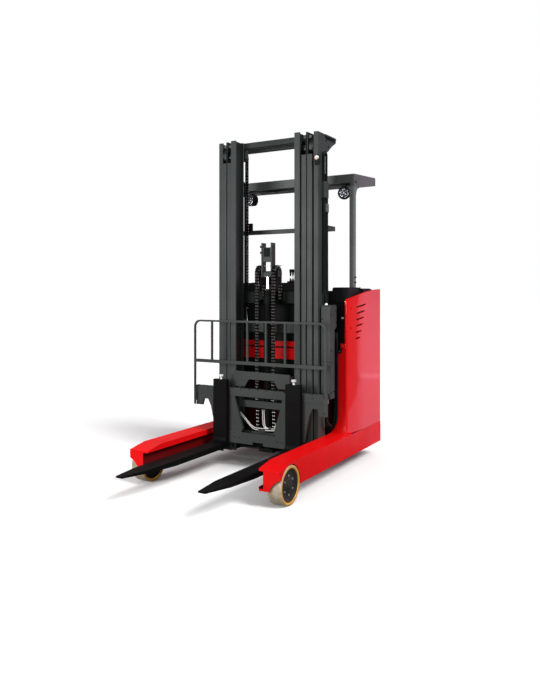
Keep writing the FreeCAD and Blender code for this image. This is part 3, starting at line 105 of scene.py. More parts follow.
def setSmooth(piece, smooth):
    for polygon in piece.data.polygons:
        polygon.use_smooth = smooth
    return piece


def collect(name, bm, smooth=True):
    mesh = bpy.data.meshes.new(name)
    bm.to_mesh(mesh)
    bm.free()
    return setSmooth(addObject(name, mesh), smooth)


def asMesh(holder, name, smooth=True):
    # the evaluated holder as a plain mesh object at the origin
    graph = bpy.context.evaluated_depsgraph_get()
    mesh = bpy.data.meshes.new_from_object(holder.evaluated_get(graph), depsgraph=graph)
    bpy.data.objects.remove(holder)
    mesh.name = name
    return setSmooth(addObject(name, mesh), smooth)


softEdge = {"segments": 2, "angle": 32.0, "flatWeight": 80}


def soften(piece, edge):
    bevel = piece.modifiers.new("edges", "BEVEL")
    bevel.width = edge
    bevel.segments = softEdge["segments"]
    bevel.limit_method = "ANGLE"
    bevel.angle_limit = math.radians(softEdge["angle"])
    bevel.use_clamp_overlap = True
    weighted = piece.modifiers.new("flatFaces", "WEIGHTED_NORMAL")
    weighted.mode = "FACE_AREA"
    weighted.weight = softEdge["flatWeight"]
    weighted.keep_sharp = True


def finish(piece, coat, body, edge=0.0, stands=None):
    # rounds the piece's edges, gives it its material and hangs it on its body; stands is the node it stands for
    piece.data.materials.clear()
    piece.data.materials.append(bpy.data.materials[coat])
    if edge > 0:
        soften(piece, edge)
    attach(piece, body)
    if stands:
        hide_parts(stands)
    return piece


def addBlock(bm, sizes):
    # sizes are x, x, y, y, z, z in either order
    xs, ys, zs = (sorted(sizes[i:i + 2]) for i in (0, 2, 4))
    points = [bm.verts.new((x, y, z)) for x in xs for y in ys for z in zs]
    for corners in ((0, 1, 3, 2), (4, 6, 7, 5), (0, 4, 5, 1), (2, 3, 7, 6), (0, 2, 6, 4), (1, 5, 7, 3)):
        bm.faces.new([points[i] for i in corners])


def addPrism(bm, outline, low, high, axis):
    # outline is in the two other axes, in order
    def at(p, depth):
        return [(depth, p[0], p[1]), (p[0], depth, p[1]), (p[0], p[1], depth)][axis]
    lower = [bm.verts.new(at(p, low)) for p in outline]
    upper = [bm.verts.new(at(p, high)) for p in outline]
    walls = [bm.faces.new((lower[i - 1], lower[i], upper[i], upper[i - 1])) for i in range(len(outline))]
    bmesh.ops.recalc_face_normals(bm, faces=walls + [bm.faces.new(lower[::-1]), bm.faces.new(upper)])


def frameAlong(direction):
    w = Vector(direction).normalized()
    u = w.orthogonal().normalized()
    return u, w.cross(u), w


def addLathe(bm, profile, centre, direction, count=48, closed=False):
    # profile is a list of (radius, distance along direction)
    u, v, w = frameAlong(direction)
    turn = [2 * math.pi * i / count for i in range(count)]
    rings = []
    for radius, along in profile:
        middle = Vector(centre) + w * along
        tip = radius < 1e-6
        rings.append([bm.verts.new(middle)] * count if tip else
                     [bm.verts.new(middle + (u * math.cos(t) + v * math.sin(t)) * radius) for t in turn])
    made = []
    for a, b in list(zip(rings, rings[1:])) + ([(rings[-1], rings[0])] if closed else []):
        for i in range(count):
            j = (i + 1) % count
            corners = list(dict.fromkeys((a[i], a[j], b[j], b[i])))    # a tip's corner counts once
            if len(corners) > 2:
                made.append(bm.faces.new(corners))
    bmesh.ops.recalc_face_normals(bm, faces=made)


def mirrored(half):
    # both halves of a ring's profile, from the half on the truck's left
    return [(radius, -along) for radius, along in half] + half[::-1]


def steps(*pairs):
    # profile of a stepped part, from each step's radius and upper end
    profile, low = [], 0
    for radius, high in pairs:
        profile += [(radius, low), (radius, high)]
        low = high
    return capped(*profile)


def capped(*profile, top=None):
    # closes a profile at both ends; the lower end is at 0
    return [(0, 0), *profile, (0, profile[-1][1] if top is None else top)]


def blocks(name, coat, body, sizes, edge=0.0012, stands=None):
    bm = bmesh.new()
    for size in sizes:
        addBlock(bm, size)
    return finish(collect(name, bm), coat, body, edge, stands)


def lathed(name, coat, body, parts, count=32, slot=None, stands=None, closed=False):
    # parts is a list of (profile, direction, centre, centre, ...)
    bm = bmesh.new()
    for profile, direction, *centres in parts:
        for centre in centres:
            addLathe(bm, profile, centre, direction, count, closed)
    return finish(collect(name, bm), coat, body, 0.0, stands)


def turned(*look, **settings):
    # the same with sharp corners
    piece = lathed(*look, **settings)
    piece.modifiers.new("flatFaces", "WEIGHTED_NORMAL").keep_sharp = True
    piece.modifiers.new("sharpEdges", "EDGE_SPLIT").split_angle = math.radians(35)


def newCurve(name, kind, points):
    curve = bpy.data.curves.new(name, "CURVE")
    curve.dimensions = "3D"
    spline = curve.splines.new(kind)
    spline.points.add(len(points) - 1)
    for slot, point in zip(spline.points, points):
        slot.co = (*point, 1.0)
    return curve, spline


def pipe(name, coat, body, points, radius):
    # a bent pipe or hose as a mesh; the curve rounds the corners
    curve, spline = newCurve(name, "NURBS", points)
    curve.bevel_depth = radius
    curve.bevel_resolution = 2
    curve.use_fill_caps = True
    curve.resolution_u = 6
    spline.order_u = 3
    spline.use_endpoint_u = True
    return finish(asMesh(addObject(name, curve), name), coat, body)


def refined(node, coat, edge, slot=None):
    # a merged copy of a CAD node with rounded edges, shown in its place
    source = frame["nodes"][node]
    bm = bmesh.new()
    bm.from_mesh(source.data)
    bmesh.ops.remove_doubles(bm, verts=bm.verts, dist=1e-5)
    bmesh.ops.dissolve_limit(bm, angle_limit=math.radians(0.6), verts=bm.verts, edges=bm.edges, delimit={"NORMAL"})
    finish(collect(node + "_shown", bm), coat, body_of(source)[0], edge, node)


def middleOf(node, s):
    # middle of a node's left or right part
    near = [v.co for v in frame["nodes"][node].data.vertices if v.co.x * s > 0]
    return Vector([(min(p[i] for p in near) + max(p[i] for p in near)) / 2 for i in range(3)])


# nodes of both kinds
def fill(tree, node, values):
    # sets a node's inputs, or links those whose value is another node's output
    for name, value in values.items():
        if isinstance(value, bpy.types.NodeSocket):
            tree.links.new(value, node.inputs[name])
        else:
            node.inputs[name].default_value = value


def addNode(tree, kind, values, **settings):
    node = tree.nodes.new(kind)
    for name, value in settings.items():
        setattr(node, name, value)
    fill(tree, node, values)
    return node.outputs


# Geometry Nodes for what repeats
def newTree(name, **sockets):
    tree = bpy.data.node_groups.new(name, "GeometryNodeTree")
    for label, kind in {"Geometry": "Geometry", **sockets, "Material": "Material"}.items():
        tree.interface.new_socket(label, in_out="INPUT", socket_type="NodeSocket" + kind)
    tree.interface.new_socket("Geometry", in_out="OUTPUT", socket_type="NodeSocketGeometry")
    return tree, tree.nodes.new("NodeGroupInput").outputs


def putParts(tree, start, points, **more):
    # the tree's part on every point
    part = addNode(tree, "GeometryNodeObjectInfo", {"Object": start["Part"]})
    return addNode(tree, "GeometryNodeInstanceOnPoints",
                   {"Points": points, "Instance": part["Geometry"], **more})["Instances"]


def closeTree(tree, start, source):
    plain = addNode(tree, "GeometryNodeRealizeInstances", {"Geometry": source})
    coated = addNode(tree, "GeometryNodeSetMaterial",
                     {"Geometry": plain["Geometry"], "Material": start["Material"]})
    fill(tree, tree.nodes.new("NodeGroupOutput"), {"Geometry": coated["Geometry"]})
    return tree


def pointsTree():
    # a part on every point, its own Z along the point's "facing"
    tree, start = newTree("partsOnPoints", Part="Object")
    facing = addNode(tree, "GeometryNodeInputNamedAttribute", {"Name": "facing"}, data_type="FLOAT_VECTOR")
    turn = addNode(tree, "FunctionNodeAlignRotationToVector", {"Vector": facing["Attribute"]})
    return closeTree(tree, start, putParts(tree, start, start["Geometry"], Rotation=turn["Rotation"]))


def ringTree():
    # parts round a circle about Z, then turned and moved
    tree, start = newTree("partsInRing", Part="Object", Count="Int", Radius="Float", Centre="Vector",
                          Turn="Vector")
    circle = addNode(tree, "GeometryNodeMeshCircle", {"Vertices": start["Count"], "Radius": start["Radius"]})
    moved = addNode(tree, "GeometryNodeTransform", {
        "Geometry": putParts(tree, start, circle["Mesh"]), "Translation": start["Centre"],
        "Rotation": start["Turn"]})
    return closeTree(tree, start, moved["Geometry"])


def rowTree():
    # parts in a straight row from Start, Step apart
    tree, start = newTree("partsInRow", Part="Object", Count="Int", Start="Vector", Step="Vector")
    line = addNode(tree, "GeometryNodeMeshLine",
                   {"Count": start["Count"], "Start Location": start["Start"], "Offset": start["Step"]})
    return closeTree(tree, start, putParts(tree, start, line["Mesh"]))


def pathTree():
    # parts along the holder's curve, Pitch apart, their own Z along the path
    tree, start = newTree("partsAlongPath", Part="Object", Pitch="Float")
    spots = addNode(tree, "GeometryNodeResampleCurve", {"Curve": start["Geometry"], "Length": start["Pitch"]},
                    mode="LENGTH")
    tangent = addNode(tree, "GeometryNodeInputTangent", {})
    turn = addNode(tree, "FunctionNodeAlignRotationToVector", {"Vector": tangent["Tangent"]})
    square = addNode(tree, "FunctionNodeAlignRotationToVector",
                     {"Rotation": turn["Rotation"], "Vector": (1, 0, 0)}, axis="X", pivot_axis="Z")
    return closeTree(tree, start, putParts(tree, start, spots["Curve"], Rotation=square["Rotation"]))


trees = {"points": pointsTree(), "ring": ringTree(), "row": rowTree(), "path": pathTree()}
templates = []


def template(name, bm):
    # a part for the trees, removed at the end
    part = collect(name, bm, smooth=False)
    part.hide_render = True
    templates.append(part)
    return part


def grown(name, kind, holder, coat, body, values):
    # runs one of the trees on the holder and keeps the result as a finished plain mesh
    modifier = holder.modifiers.new("grow", "NODES")
    modifier.node_group = trees[kind]
    values = {**values, "Material": bpy.data.materials[coat]}
    for item in trees[kind].interface.items_tree:
        if item.item_type == "SOCKET" and item.in_out == "INPUT" and item.name in values:
            modifier[item.identifier] = values[item.name]
    return finish(asMesh(holder, name, smooth=False), coat, body)


onePoint = (up, [(0, 0, 0)])    # for the trees that make their own points


def holderOf(*groups):
    # points for a tree, each with its outward direction; a group is a direction and its points
    places = [(point, direction) for direction, points in groups for point in points]
    mesh = bpy.data.meshes.new("holder")
    mesh.from_pydata([point for point, _ in places], [], [])
    facing = mesh.attributes.new("facing", "FLOAT_VECTOR", "POINT")
    for spot, (_, direction) in zip(facing.data, places):
        spot.vector = direction
    return addObject("holder", mesh)


def fasten(name, part, body, coat, *groups, slot=None):
    grown(name, "points", holderOf(*groups), coat, body, {"Part": part})


def blank(name):
    material = bpy.data.materials.new(name)
    material.use_nodes = True
    return material.node_tree, material.node_tree.nodes["Principled BSDF"]


def objectPoint(tree, scale=(1, 1, 1)):
    place = addNode(tree, "ShaderNodeTexCoord", {})
    return addNode(tree, "ShaderNodeMapping", {"Scale": scale, "Vector": place["Object"]})["Vector"]


def noise(tree, point, scale, detail=3.0, rough=0.55):
    return addNode(tree, "ShaderNodeTexNoise",
                   {"Vector": point, "Scale": scale, "Detail": detail, "Roughness": rough})["Fac"]


def remap(tree, value, low, high, outLow=0.0, outHigh=1.0):
    return addNode(tree, "ShaderNodeMapRange", {"Value": value, "From Min": low, "From Max": high,
                                                "To Min": outLow, "To Max": outHigh})["Result"]


def combine(tree, kind, a, b=0.0):
    return addNode(tree, "ShaderNodeMath", {0: a, 1: b}, operation=kind)["Value"]


def product(tree, first, *others):
    for other in others:
        first = combine(tree, "MULTIPLY", first, other)
    return first


def blendColors(tree, factor, *colors):
    a, b = (c if isinstance(c, bpy.types.NodeSocket) else (*c, 1.0) for c in colors)
    # the mix node has these names once for each kind of value; 6, 7 and 2 are the colours'
    return addNode(tree, "ShaderNodeMix", {"Factor": factor, 6: a, 7: b}, data_type="RGBA")[2]


def bump(tree, shader, height, strength, distance=0.0004):
    normal = addNode(tree, "ShaderNodeBump", {"Height": height, "Strength": strength, "Distance": distance})
    fill(tree, shader, {"Normal": normal["Normal"]})


def splitPoint(tree, point):
    return addNode(tree, "ShaderNodeSeparateXYZ", {"Vector": point})


def edgeMask(tree, radius):
    # 1 along outside edges, 0 on flat ground
    bent = addNode(tree, "ShaderNodeBevel", {"Radius": radius}, samples=4)
    flat = addNode(tree, "ShaderNodeNewGeometry", {})
    dot = addNode(tree, "ShaderNodeVectorMath", {0: bent["Normal"], 1: flat["Normal"]}, operation="DOT_PRODUCT")
    return remap(tree, dot["Value"], 0.98, 0.80)


def boxMask(tree, point, low, high, soft=0.0015):
    # 1 inside a box, the same on the left and on the right of the truck
    split = splitPoint(tree, point)
    inside = 1.0
    for axis, start, end in zip("XYZ", low, high):
        value = combine(tree, "ABSOLUTE", split[axis]) if axis == "X" else split[axis]
        inside = combine(tree, "MULTIPLY", remap(tree, value, start - soft, start), inside)
        inside = combine(tree, "MULTIPLY", remap(tree, value, end + soft, end), inside)
    return inside


paintDefaults = {"spread": 0.05, "specular": 0.5, "coat": 0.0, "coatRoughness": 0.06, "dust": 0.25, "dustTop": 0.5,
                 "dustColor": (0.20, 0.18, 0.15), "grain": 0.12, "grainScale": 420.0, "streak": 0.0, "dark": (),
                 "wear": 0.0, "wearRadius": 0.003}


def painted(name, look):
    # paint with a slow drift of tone, dust low down, rubbed edges and a fine texture
    look = {**paintDefaults, **look}
    tree, shader = blank(name)
    point = objectPoint(tree)
    drift = remap(tree, noise(tree, point, 2.2), 0.35, 0.68)
    tone = blendColors(tree, drift, look["color"], look["shade"])
    dust = remap(tree, noise(tree, point, 9.0, 6.0, 0.65), 0.42, 0.72)
    height = remap(tree, splitPoint(tree, point)["Z"], 0.0, look["dustTop"])
    dust = product(tree, dust, combine(tree, "SUBTRACT", 1.0, height), look["dust"])
    tone = blendColors(tree, dust, tone, look["dustColor"])
    if look["streak"]:
        lines = remap(tree, noise(tree, objectPoint(tree, (70, 70, 1.2)), 3.0, 4.0, 0.7), 0.40, 0.66)
        tone = blendColors(tree, product(tree, lines, look["streak"]), tone, look["streakColor"])
    # darker boxes given in the look, mostly painted shade in channels and recesses
    for low, high, color in look["dark"]:
        tone = blendColors(tree, boxMask(tree, point, low, high), tone, color)
    if look["wear"]:
        broken = remap(tree, noise(tree, point, 60.0, 5.0, 0.7), 0.48, 0.60)
        worn = product(tree, edgeMask(tree, look["wearRadius"]), broken, look["wear"])
        tone = blendColors(tree, worn, tone, look["wearColor"])
    rough, spread = look["roughness"], look["spread"]
    smear = remap(tree, noise(tree, point, 5.0, 5.0, 0.6), 0.3, 0.7, rough - spread, rough + spread)
    fill(tree, shader, {"Base Color": tone, "Roughness": smear, "Specular IOR Level": look["specular"],
                        "Coat Weight": look["coat"], "Coat Roughness": look["coatRoughness"]})
    bump(tree, shader, noise(tree, point, look["grainScale"], 2.0, 0.5), look["grain"])


def metal(name, color, shade, roughness, grime=0.3, grimeColor=(0.03, 0.026, 0.02), grain=0.08,
          streak=(40, 40, 2)):
    # bare metal: brushed or turned streaks, oil and light scratches
    tree, shader = blank(name)
    lines = noise(tree, objectPoint(tree, streak), 18.0, 4.0, 0.6)
    oil = remap(tree, noise(tree, objectPoint(tree), 14.0, 5.0, 0.65), 0.45, 0.7)
    tone = blendColors(tree, remap(tree, lines, 0.3, 0.7), color, shade)
    fill(tree, shader, {"Base Color": blendColors(tree, product(tree, oil, grime), tone, grimeColor),
                        "Roughness": remap(tree, lines, 0.3, 0.7, roughness * 0.8, roughness * 1.25),
                        "Metallic": 1.0})
    bump(tree, shader, lines, grain, 0.0003)


def tyreRubber(name, centre, tread, look):
    # polyurethane: amber sidewall, dirty tread
    tree, shader = blank(name)
    point = objectPoint(tree)
    split = splitPoint(tree, point)
    dy = combine(tree, "SUBTRACT", split["Y"], centre[1])
    dz = combine(tree, "SUBTRACT", split["Z"], centre[2])
    squared = combine(tree, "ADD", product(tree, dy, dy), product(tree, dz, dz))
    onTread = remap(tree, combine(tree, "SQRT", squared), tread - 0.006, tread - 0.0025)
    patches = remap(tree, noise(tree, point, 26.0, 5.0, 0.65), 0.35, 0.7)
    amber = blendColors(tree, patches, look["amber"], look["amberShade"])
    dirt = blendColors(tree, patches, look["tread"], look["treadShade"])
    fill(tree, shader, {"Base Color": blendColors(tree, onTread, amber, dirt), "Subsurface Scale": 0.01,
                        "Roughness": remap(tree, onTread, 0, 1, look["roughness"], look["treadRoughness"]),
                        "Subsurface Weight": look["subsurface"]})
    bump(tree, shader, noise(tree, point, 160.0, 4.0, 0.6), 0.25, 0.0006)


def moulded(name, color, shade, roughness, specular=0.45, cellScale=900.0, grain=0.25, sheen=0.0,
            slot="black_plastic"):
    # moulded plastic or rubber with a leathery grain
    tree, shader = blank(name)
    point = objectPoint(tree)
    cells = addNode(tree, "ShaderNodeTexVoronoi", {"Scale": cellScale, "Vector": point})
    patch = remap(tree, noise(tree, point, 7.0, 4.0, 0.6), 0.35, 0.7)
    fill(tree, shader, {"Base Color": blendColors(tree, patch, color, shade), "Specular IOR Level": specular,
                        "Roughness": remap(tree, patch, 0, 1, roughness, roughness + 0.1), "Sheen Weight": sheen})
    bump(tree, shader, cells["Distance"], grain)


def clearLens(name, color, shade, roughness):
    tree, shader = blank(name)
    point = objectPoint(tree)
    speck = remap(tree, noise(tree, point, 90.0, 4.0, 0.6), 0.4, 0.7, roughness, roughness + 0.05)
    tint = blendColors(tree, remap(tree, noise(tree, point, 20.0), 0.3, 0.7), color, shade)
    fill(tree, shader, {"Roughness": speck, "Base Color": tint, "IOR": 1.49, "Transmission Weight": 0.96})


def grey(value):
    return value, value, value


redPaint = dict(color=(0.68, 0.003, 0.004), grainScale=120.0)
bodyRed = dict(redPaint, shade=(0.60, 0.002, 0.003), roughness=0.38, spread=0.04, specular=0.05, coat=0.62,
               coatRoughness=0.07, dust=0.03, grain=0.03, dustColor=(0.22, 0.10, 0.08))
legRed = dict(redPaint, shade=(0.58, 0.002, 0.003), roughness=0.42, spread=0.08, specular=0.08, coat=0.05,
              coatRoughness=0.12, dust=0.06, dustTop=0.4, grain=0.05, grainScale=160.0, wear=0.5,
              wearColor=(0.25, 0.02, 0.02), wearRadius=0.002, dustColor=(0.24, 0.10, 0.08))
mastGrey = dict(color=(0.046, 0.053, 0.051), shade=(0.030, 0.036, 0.034), roughness=0.48, specular=0.22, dust=0.04,
                dustTop=0.8, wear=0.35, wearColor=(0.16, 0.16, 0.15), streak=0.45,
                streakColor=(0.016, 0.019, 0.019))
carriageGrey = dict(color=(0.033, 0.038, 0.036), shade=(0.020, 0.024, 0.023), roughness=0.46, specular=0.22,
                    dust=0.04, dustTop=0.8, wear=0.4, wearColor=(0.16, 0.16, 0.15))
roofGrey = dict(color=(0.078, 0.085, 0.083), shade=(0.060, 0.066, 0.064), roughness=0.42, specular=0.3, dust=0.03,
                dustTop=0.8, wear=0.2, wearColor=(0.20, 0.20, 0.19))
# the roof's paint made lighter for the posts: painted light on the posts' lit faces
postGrey = dict(roofGrey, color=(0.135, 0.145, 0.142), shade=(0.105, 0.114, 0.112), wearColor=(0.24, 0.24, 0.23))
forkBlack = dict(color=(0.0025, 0.0025, 0.0028), shade=(0.005, 0.0045, 0.0045), roughness=0.55, specular=0.05,
                 spread=0.10, dust=0.02, dustTop=0.3, wear=0.5, wearColor=grey(0.05))
hubBlack = dict(color=(0.010, 0.009, 0.009), shade=(0.016, 0.014, 0.013), roughness=0.42, specular=0.2, dust=0.10,
                dustTop=0.3, wear=0.3, wearColor=(0.12, 0.11, 0.10))
darkPanel = dict(color=(0.004, 0.005, 0.005), shade=(0.008, 0.009, 0.009), roughness=0.5, specular=0.05, dust=0.02)
for name, slot, look in (("bodyRed", "body_red", bodyRed), ("mastGrey", "mast_grey", mastGrey),
                         ("carriageGrey", "mast_grey", carriageGrey), ("postGrey", "guard_grey", postGrey),
                         ("forkBlack", "fork_black", forkBlack), ("hubBlack", "hub_black", hubBlack),
                         ("darkPanel", "black_plastic", darkPanel)):
    painted(name, look)

# paints with a darker part, given as a box and its colour; on the rails, the inner stage's low bars, the legs and
# the frame the darker part is painted shade
rails = {name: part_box(name + "_rails") for name in ("outer", "middle", "inner")}
legLow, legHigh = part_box("straddle_legs")
frameLow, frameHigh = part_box("chassis_frame")
roofLow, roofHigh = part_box("guard_roof")
carrierLow = roofHigh.z - 0.102
# near-black painted shade inside the rails' channels, where they lie in shadow
trackShadeBlack = (0.006, 0.007, 0.007)
for name, sideInset, darkness in (("outer", 0.003, trackShadeBlack), ("middle", -0.001, trackShadeBlack),
                                  ("inner", -0.001, (0.011, 0.013, 0.013))):
    low, high = rails[name]
    shadedTracks = ((0, low.y + 0.0136, low.z), (high.x - sideInset, high.y - 0.0125, high.z + 0.01), darkness)
    painted(name + "RailPaint", dict(mastGrey, dark=[shadedTracks]))
# painted shade on the inner stage's low bars, which lie in shadow
painted("innerBarPaint", dict(mastGrey, specular=0.06, dark=[
    ((0, 0, 0.1), (0.6, 1, 1.5), (0.004, 0.005, 0.005))]))
# painted shade inside the legs' channels, under their top flange
painted("legPaint", dict(legRed, dark=[
    ((0, legLow.y, legLow.z + 0.014), (frameHigh.x + 0.001, frameLow.y, legHigh.z - 0.0385),
     (0.11, 0.002, 0.003))]))
painted("roofPaint", dict(roofGrey, dark=[
    ((0, roofLow.y + 0.080, carrierLow - 0.001), (roofHigh.x - 0.0315, roofLow.y + 0.125, carrierLow + 0.041),
     grey(0.006))]))
# painted shade on the chassis frame's front plate, seen through the carriage
painted("framePaint", dict(bodyRed, dark=[
    ((0, frameLow.y - 0.002, 0.1), (0.6, frameLow.y + 0.04, frameHigh.z + 0.01), (0.035, 0.001, 0.001))]))

# name, colour, its darker shade, roughness
metal("turnedSteel", (0.56, 0.56, 0.57), (0.40, 0.40, 0.41), 0.28)
metal("hardChrome", (0.80, 0.80, 0.81), (0.72, 0.72, 0.73), 0.09, grime=0.08, grain=0.02, streak=(4, 4, 60))
metal("oiledChain", (0.030, 0.030, 0.029), (0.020, 0.019, 0.018), 0.5, grime=0.9, grimeColor=grey(0.004))
metal("chainPin", (0.62, 0.62, 0.60), (0.45, 0.45, 0.43), 0.45, grime=0.15)
metal("greasedRoller", grey(0.07), grey(0.04), 0.58, grime=0.8, grimeColor=(0.012, 0.011, 0.010))
metal("zincPlate", (0.62, 0.61, 0.58), (0.48, 0.48, 0.47), 0.33, grime=0.15, streak=(9, 9, 9))
metal("lampReflector", (0.90, 0.91, 0.92), (0.78, 0.79, 0.80), 0.16, grime=0.0, streak=(60, 60, 60))
moulded("oiledPlates", grey(0.003), (0.006, 0.006, 0.005), 0.5, specular=0.06, slot="chain_steel")
moulded("grainedPlastic", (0.006, 0.006, 0.007), (0.010, 0.010, 0.011), 0.5, specular=0.07)
moulded("matRubber", grey(0.016), (0.035, 0.033, 0.030), 0.72, cellScale=500.0, grain=0.4)
moulded("hoseRubber", grey(0.005), grey(0.009), 0.5, specular=0.12, cellScale=1400.0, slot="hose_rubber")
moulded("padVinyl", (0.020, 0.020, 0.021), (0.028, 0.028, 0.029), 0.46, cellScale=620.0, grain=0.5, sheen=0.1,
        slot="pad_vinyl")
smoothPlastics = {
    # name: (colour, its darker shade, roughness, specular)
    "whitePlastic": ((0.80, 0.79, 0.76), (0.70, 0.69, 0.66), 0.35, 0.4),
    "orangePlastic": ((0.75, 0.22, 0.02), (0.65, 0.17, 0.02), 0.4, 0.4),
    "redButton": ((0.55, 0.01, 0.01), (0.45, 0.01, 0.01), 0.3, 0.4),
    "greyPlastic": ((0.10, 0.105, 0.105), (0.08, 0.084, 0.084), 0.5, 0.4),
    "displayGlass": ((0.010, 0.016, 0.020), (0.015, 0.022, 0.026), 0.08, 0.6),
}
for name, look in smoothPlastics.items():
    moulded(name, *look, cellScale=1200.0, grain=0.1)
moulded("brightZinc", (0.66, 0.66, 0.64), (0.52, 0.52, 0.50), 0.3, 0.5, 1200.0, 0.1, slot="steel")
clearLens("lampGlass", (0.93, 0.95, 0.97), (0.88, 0.91, 0.94), 0.04)
polyurethane = {"amber": (0.60, 0.30, 0.045), "amberShade": (0.46, 0.22, 0.035), "tread": (0.42, 0.36, 0.26),
                "treadShade": (0.26, 0.20, 0.13), "roughness": 0.32, "treadRoughness": 0.6, "subsurface": 0.12}

print("materials made")


# CAD nodes kept or refined
hardParts = {
    # node: (material, edge radius, and its slot where the material has another)
    "straddle_legs": ("legPaint", 0.0025),
    "chassis_frame": ("framePaint", 0.0015),
    "chassis_crossbeam": ("bodyRed", 0.002),
    "body_sides": ("bodyRed", 0.0008),
    "rear_cover": ("bodyRed", 0.0018),
    "operator_platform": ("bodyRed", 0.001),
    "front_bulkhead": ("darkPanel", 0.002),
    "knee_panel": ("darkPanel", 0.002),
    "dashboard": ("grainedPlastic", 0.006),
    "drive_cover": ("grainedPlastic", 0.002),
    "battery": ("darkPanel", 0.003, "battery_case"),
    "guard_posts": ("postGrey", 0.001),
    "guard_roof": ("roofPaint", 0.0025),
    "outer_rails": ("outerRailPaint", 0.0018),
    "middle_rails": ("middleRailPaint", 0.0018),
    "inner_rails": ("innerRailPaint", 0.0018),
    "outer_mast_crossmembers": ("mastGrey", 0.0015),
    "middle_mast_crossmembers": ("mastGrey", 0.0012),
    "inner_mast_crossmembers": ("innerBarPaint", 0.0012),
    "outer_mast_brackets": ("mastGrey", 0.001),
    "mast_base": ("carriageGrey", 0.0015),
    "mast_side_cover": ("carriageGrey", 0.003),
    "fork_carriage": ("carriageGrey", 0.0015),
    "carriage_face": ("carriageGrey", 0.0018),
    "load_backrest": ("carriageGrey", 0.002),
    "forks": ("forkBlack", 0.003),
    "chain_crosshead": ("mastGrey", 0.0012),
    "drive_unit": ("hubBlack", 0.0015),
    "caster_fork": ("forkBlack", 0.0015),
    "steering_wheel": ("grainedPlastic", 0.001),
    "outer_mast_rollers": ("greasedRoller", 0.0015),
    "middle_mast_rollers": ("greasedRoller", 0.0015),
    "inner_mast_rollers": ("greasedRoller", 0.0015),
    "carriage_rollers": ("greasedRoller", 0.0015),
}
for node, look in hardParts.items():
    refined(node, *look)
keptNodes = {
    "turnedSteel": ["load_wheel_axles"],
    "greasedRoller": ["reach_rollers"],
    "forkBlack": ["lift_cylinder_barrels", "free_lift_barrel", "reach_cylinder_barrel", "tilt_cylinder_barrels"],
    "hardChrome": ["reach_rod", "lift_cylinder_rods", "free_lift_rod", "tilt_cylinder_rods"],
    "matRubber": ["platform_mat"],
    "oiledChain": ["lift_chains", "mast_chains"],
    "hoseRubber": ["mast_hoses"],
}
for coat, nodes in keptNodes.items():
    for node in nodes:
        mesh = frame["nodes"][node].data
        mesh.materials.clear()
        mesh.materials.append(bpy.data.materials[coat])
print("CAD nodes finished")


# bolts and screws, their own Z outwards
def hexBolt(name, across, height):
    # washer, hexagon head and a shallow dome
    bm = bmesh.new()
    washer = height * 0.18
    addLathe(bm, steps((across * 0.62, washer)), (0, 0, 0), up, 12)
    addLathe(bm, [(across * 0.5, washer), (across * 0.5, height * 0.85), (across * 0.42, height), (0, height)],
             (0, 0, 0), up, 6)
    return template(name, bm)


def capScrew(name, width, height):
    bm = bmesh.new()
    r, socket = width / 2, height * 0.45
    addLathe(bm, capped((r, 0), (r, height * 0.7), (r * 0.85, height), (r * 0.5, height), (r * 0.5, socket)),
             (0, 0, 0), up, 12)
    return template(name, bm)


bolt16, bolt12 = hexBolt("bolt16", 0.016, 0.006), hexBolt("bolt12", 0.012, 0.0045)
screw10 = capScrew("screw10", 0.010, 0.004)

# wheels
wheelLook = {
    "shoulder": 0.006,        # rounding of the tyre's shoulders
    "rimLip": 0.008,          # width of the hub's raised rim
    "dish": 0.009,            # how deep the hub's face is dished
    "bore": 0.0203,
    "capRadius": 0.026,
    "bolts": 6,
    "boltRing": 0.060,
}
casterLook = {"radius": 0.075, "apart": 0.022, "bore": 0.0101}


def tyreAndHub(wheel, ending=""):
    tyreNode, hubNode = wheel + "_tyre" + ending, wheel + "_hub" + ending
    low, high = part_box(tyreNode)
    centre = (low + high) / 2
    radius, half = (high.z - low.z) / 2, (high.x - low.x) / 2
    hubLow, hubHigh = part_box(hubNode)
    inner, hubHalf = (hubHigh.z - hubLow.z) / 2, (hubHigh.x - hubLow.x) / 2
    s, lip, dish, bore = (wheelLook[key] for key in ("shoulder", "rimLip", "dish", "bore"))
    tyreRubber(tyreNode + "Rubber", centre, radius, polyurethane)
    flank = [(inner, half - 0.003), (inner + 0.004, half), (radius - s, half),
             (radius - 0.3 * s, half - 0.3 * s), (radius, half - s)]
    lathed(tyreNode + "_shown", tyreNode + "Rubber", wheel + ending, [(mirrored(flank), leftward, centre)], 96,
           stands=tyreNode, closed=True)
    face = [(bore, hubHalf - 0.002), (bore + 0.018, hubHalf - 0.002), (bore + 0.022, hubHalf - dish),
            (inner - lip - 0.006, hubHalf - dish), (inner - lip, hubHalf), (inner - 0.0008, hubHalf)]
    lathed(hubNode + "_shown", "hubBlack", wheel + ending,
           [(face + [(r, -x) for r, x in face[::-1]], leftward, centre)], 72, stands=hubNode, closed=True)
    return centre, hubHalf


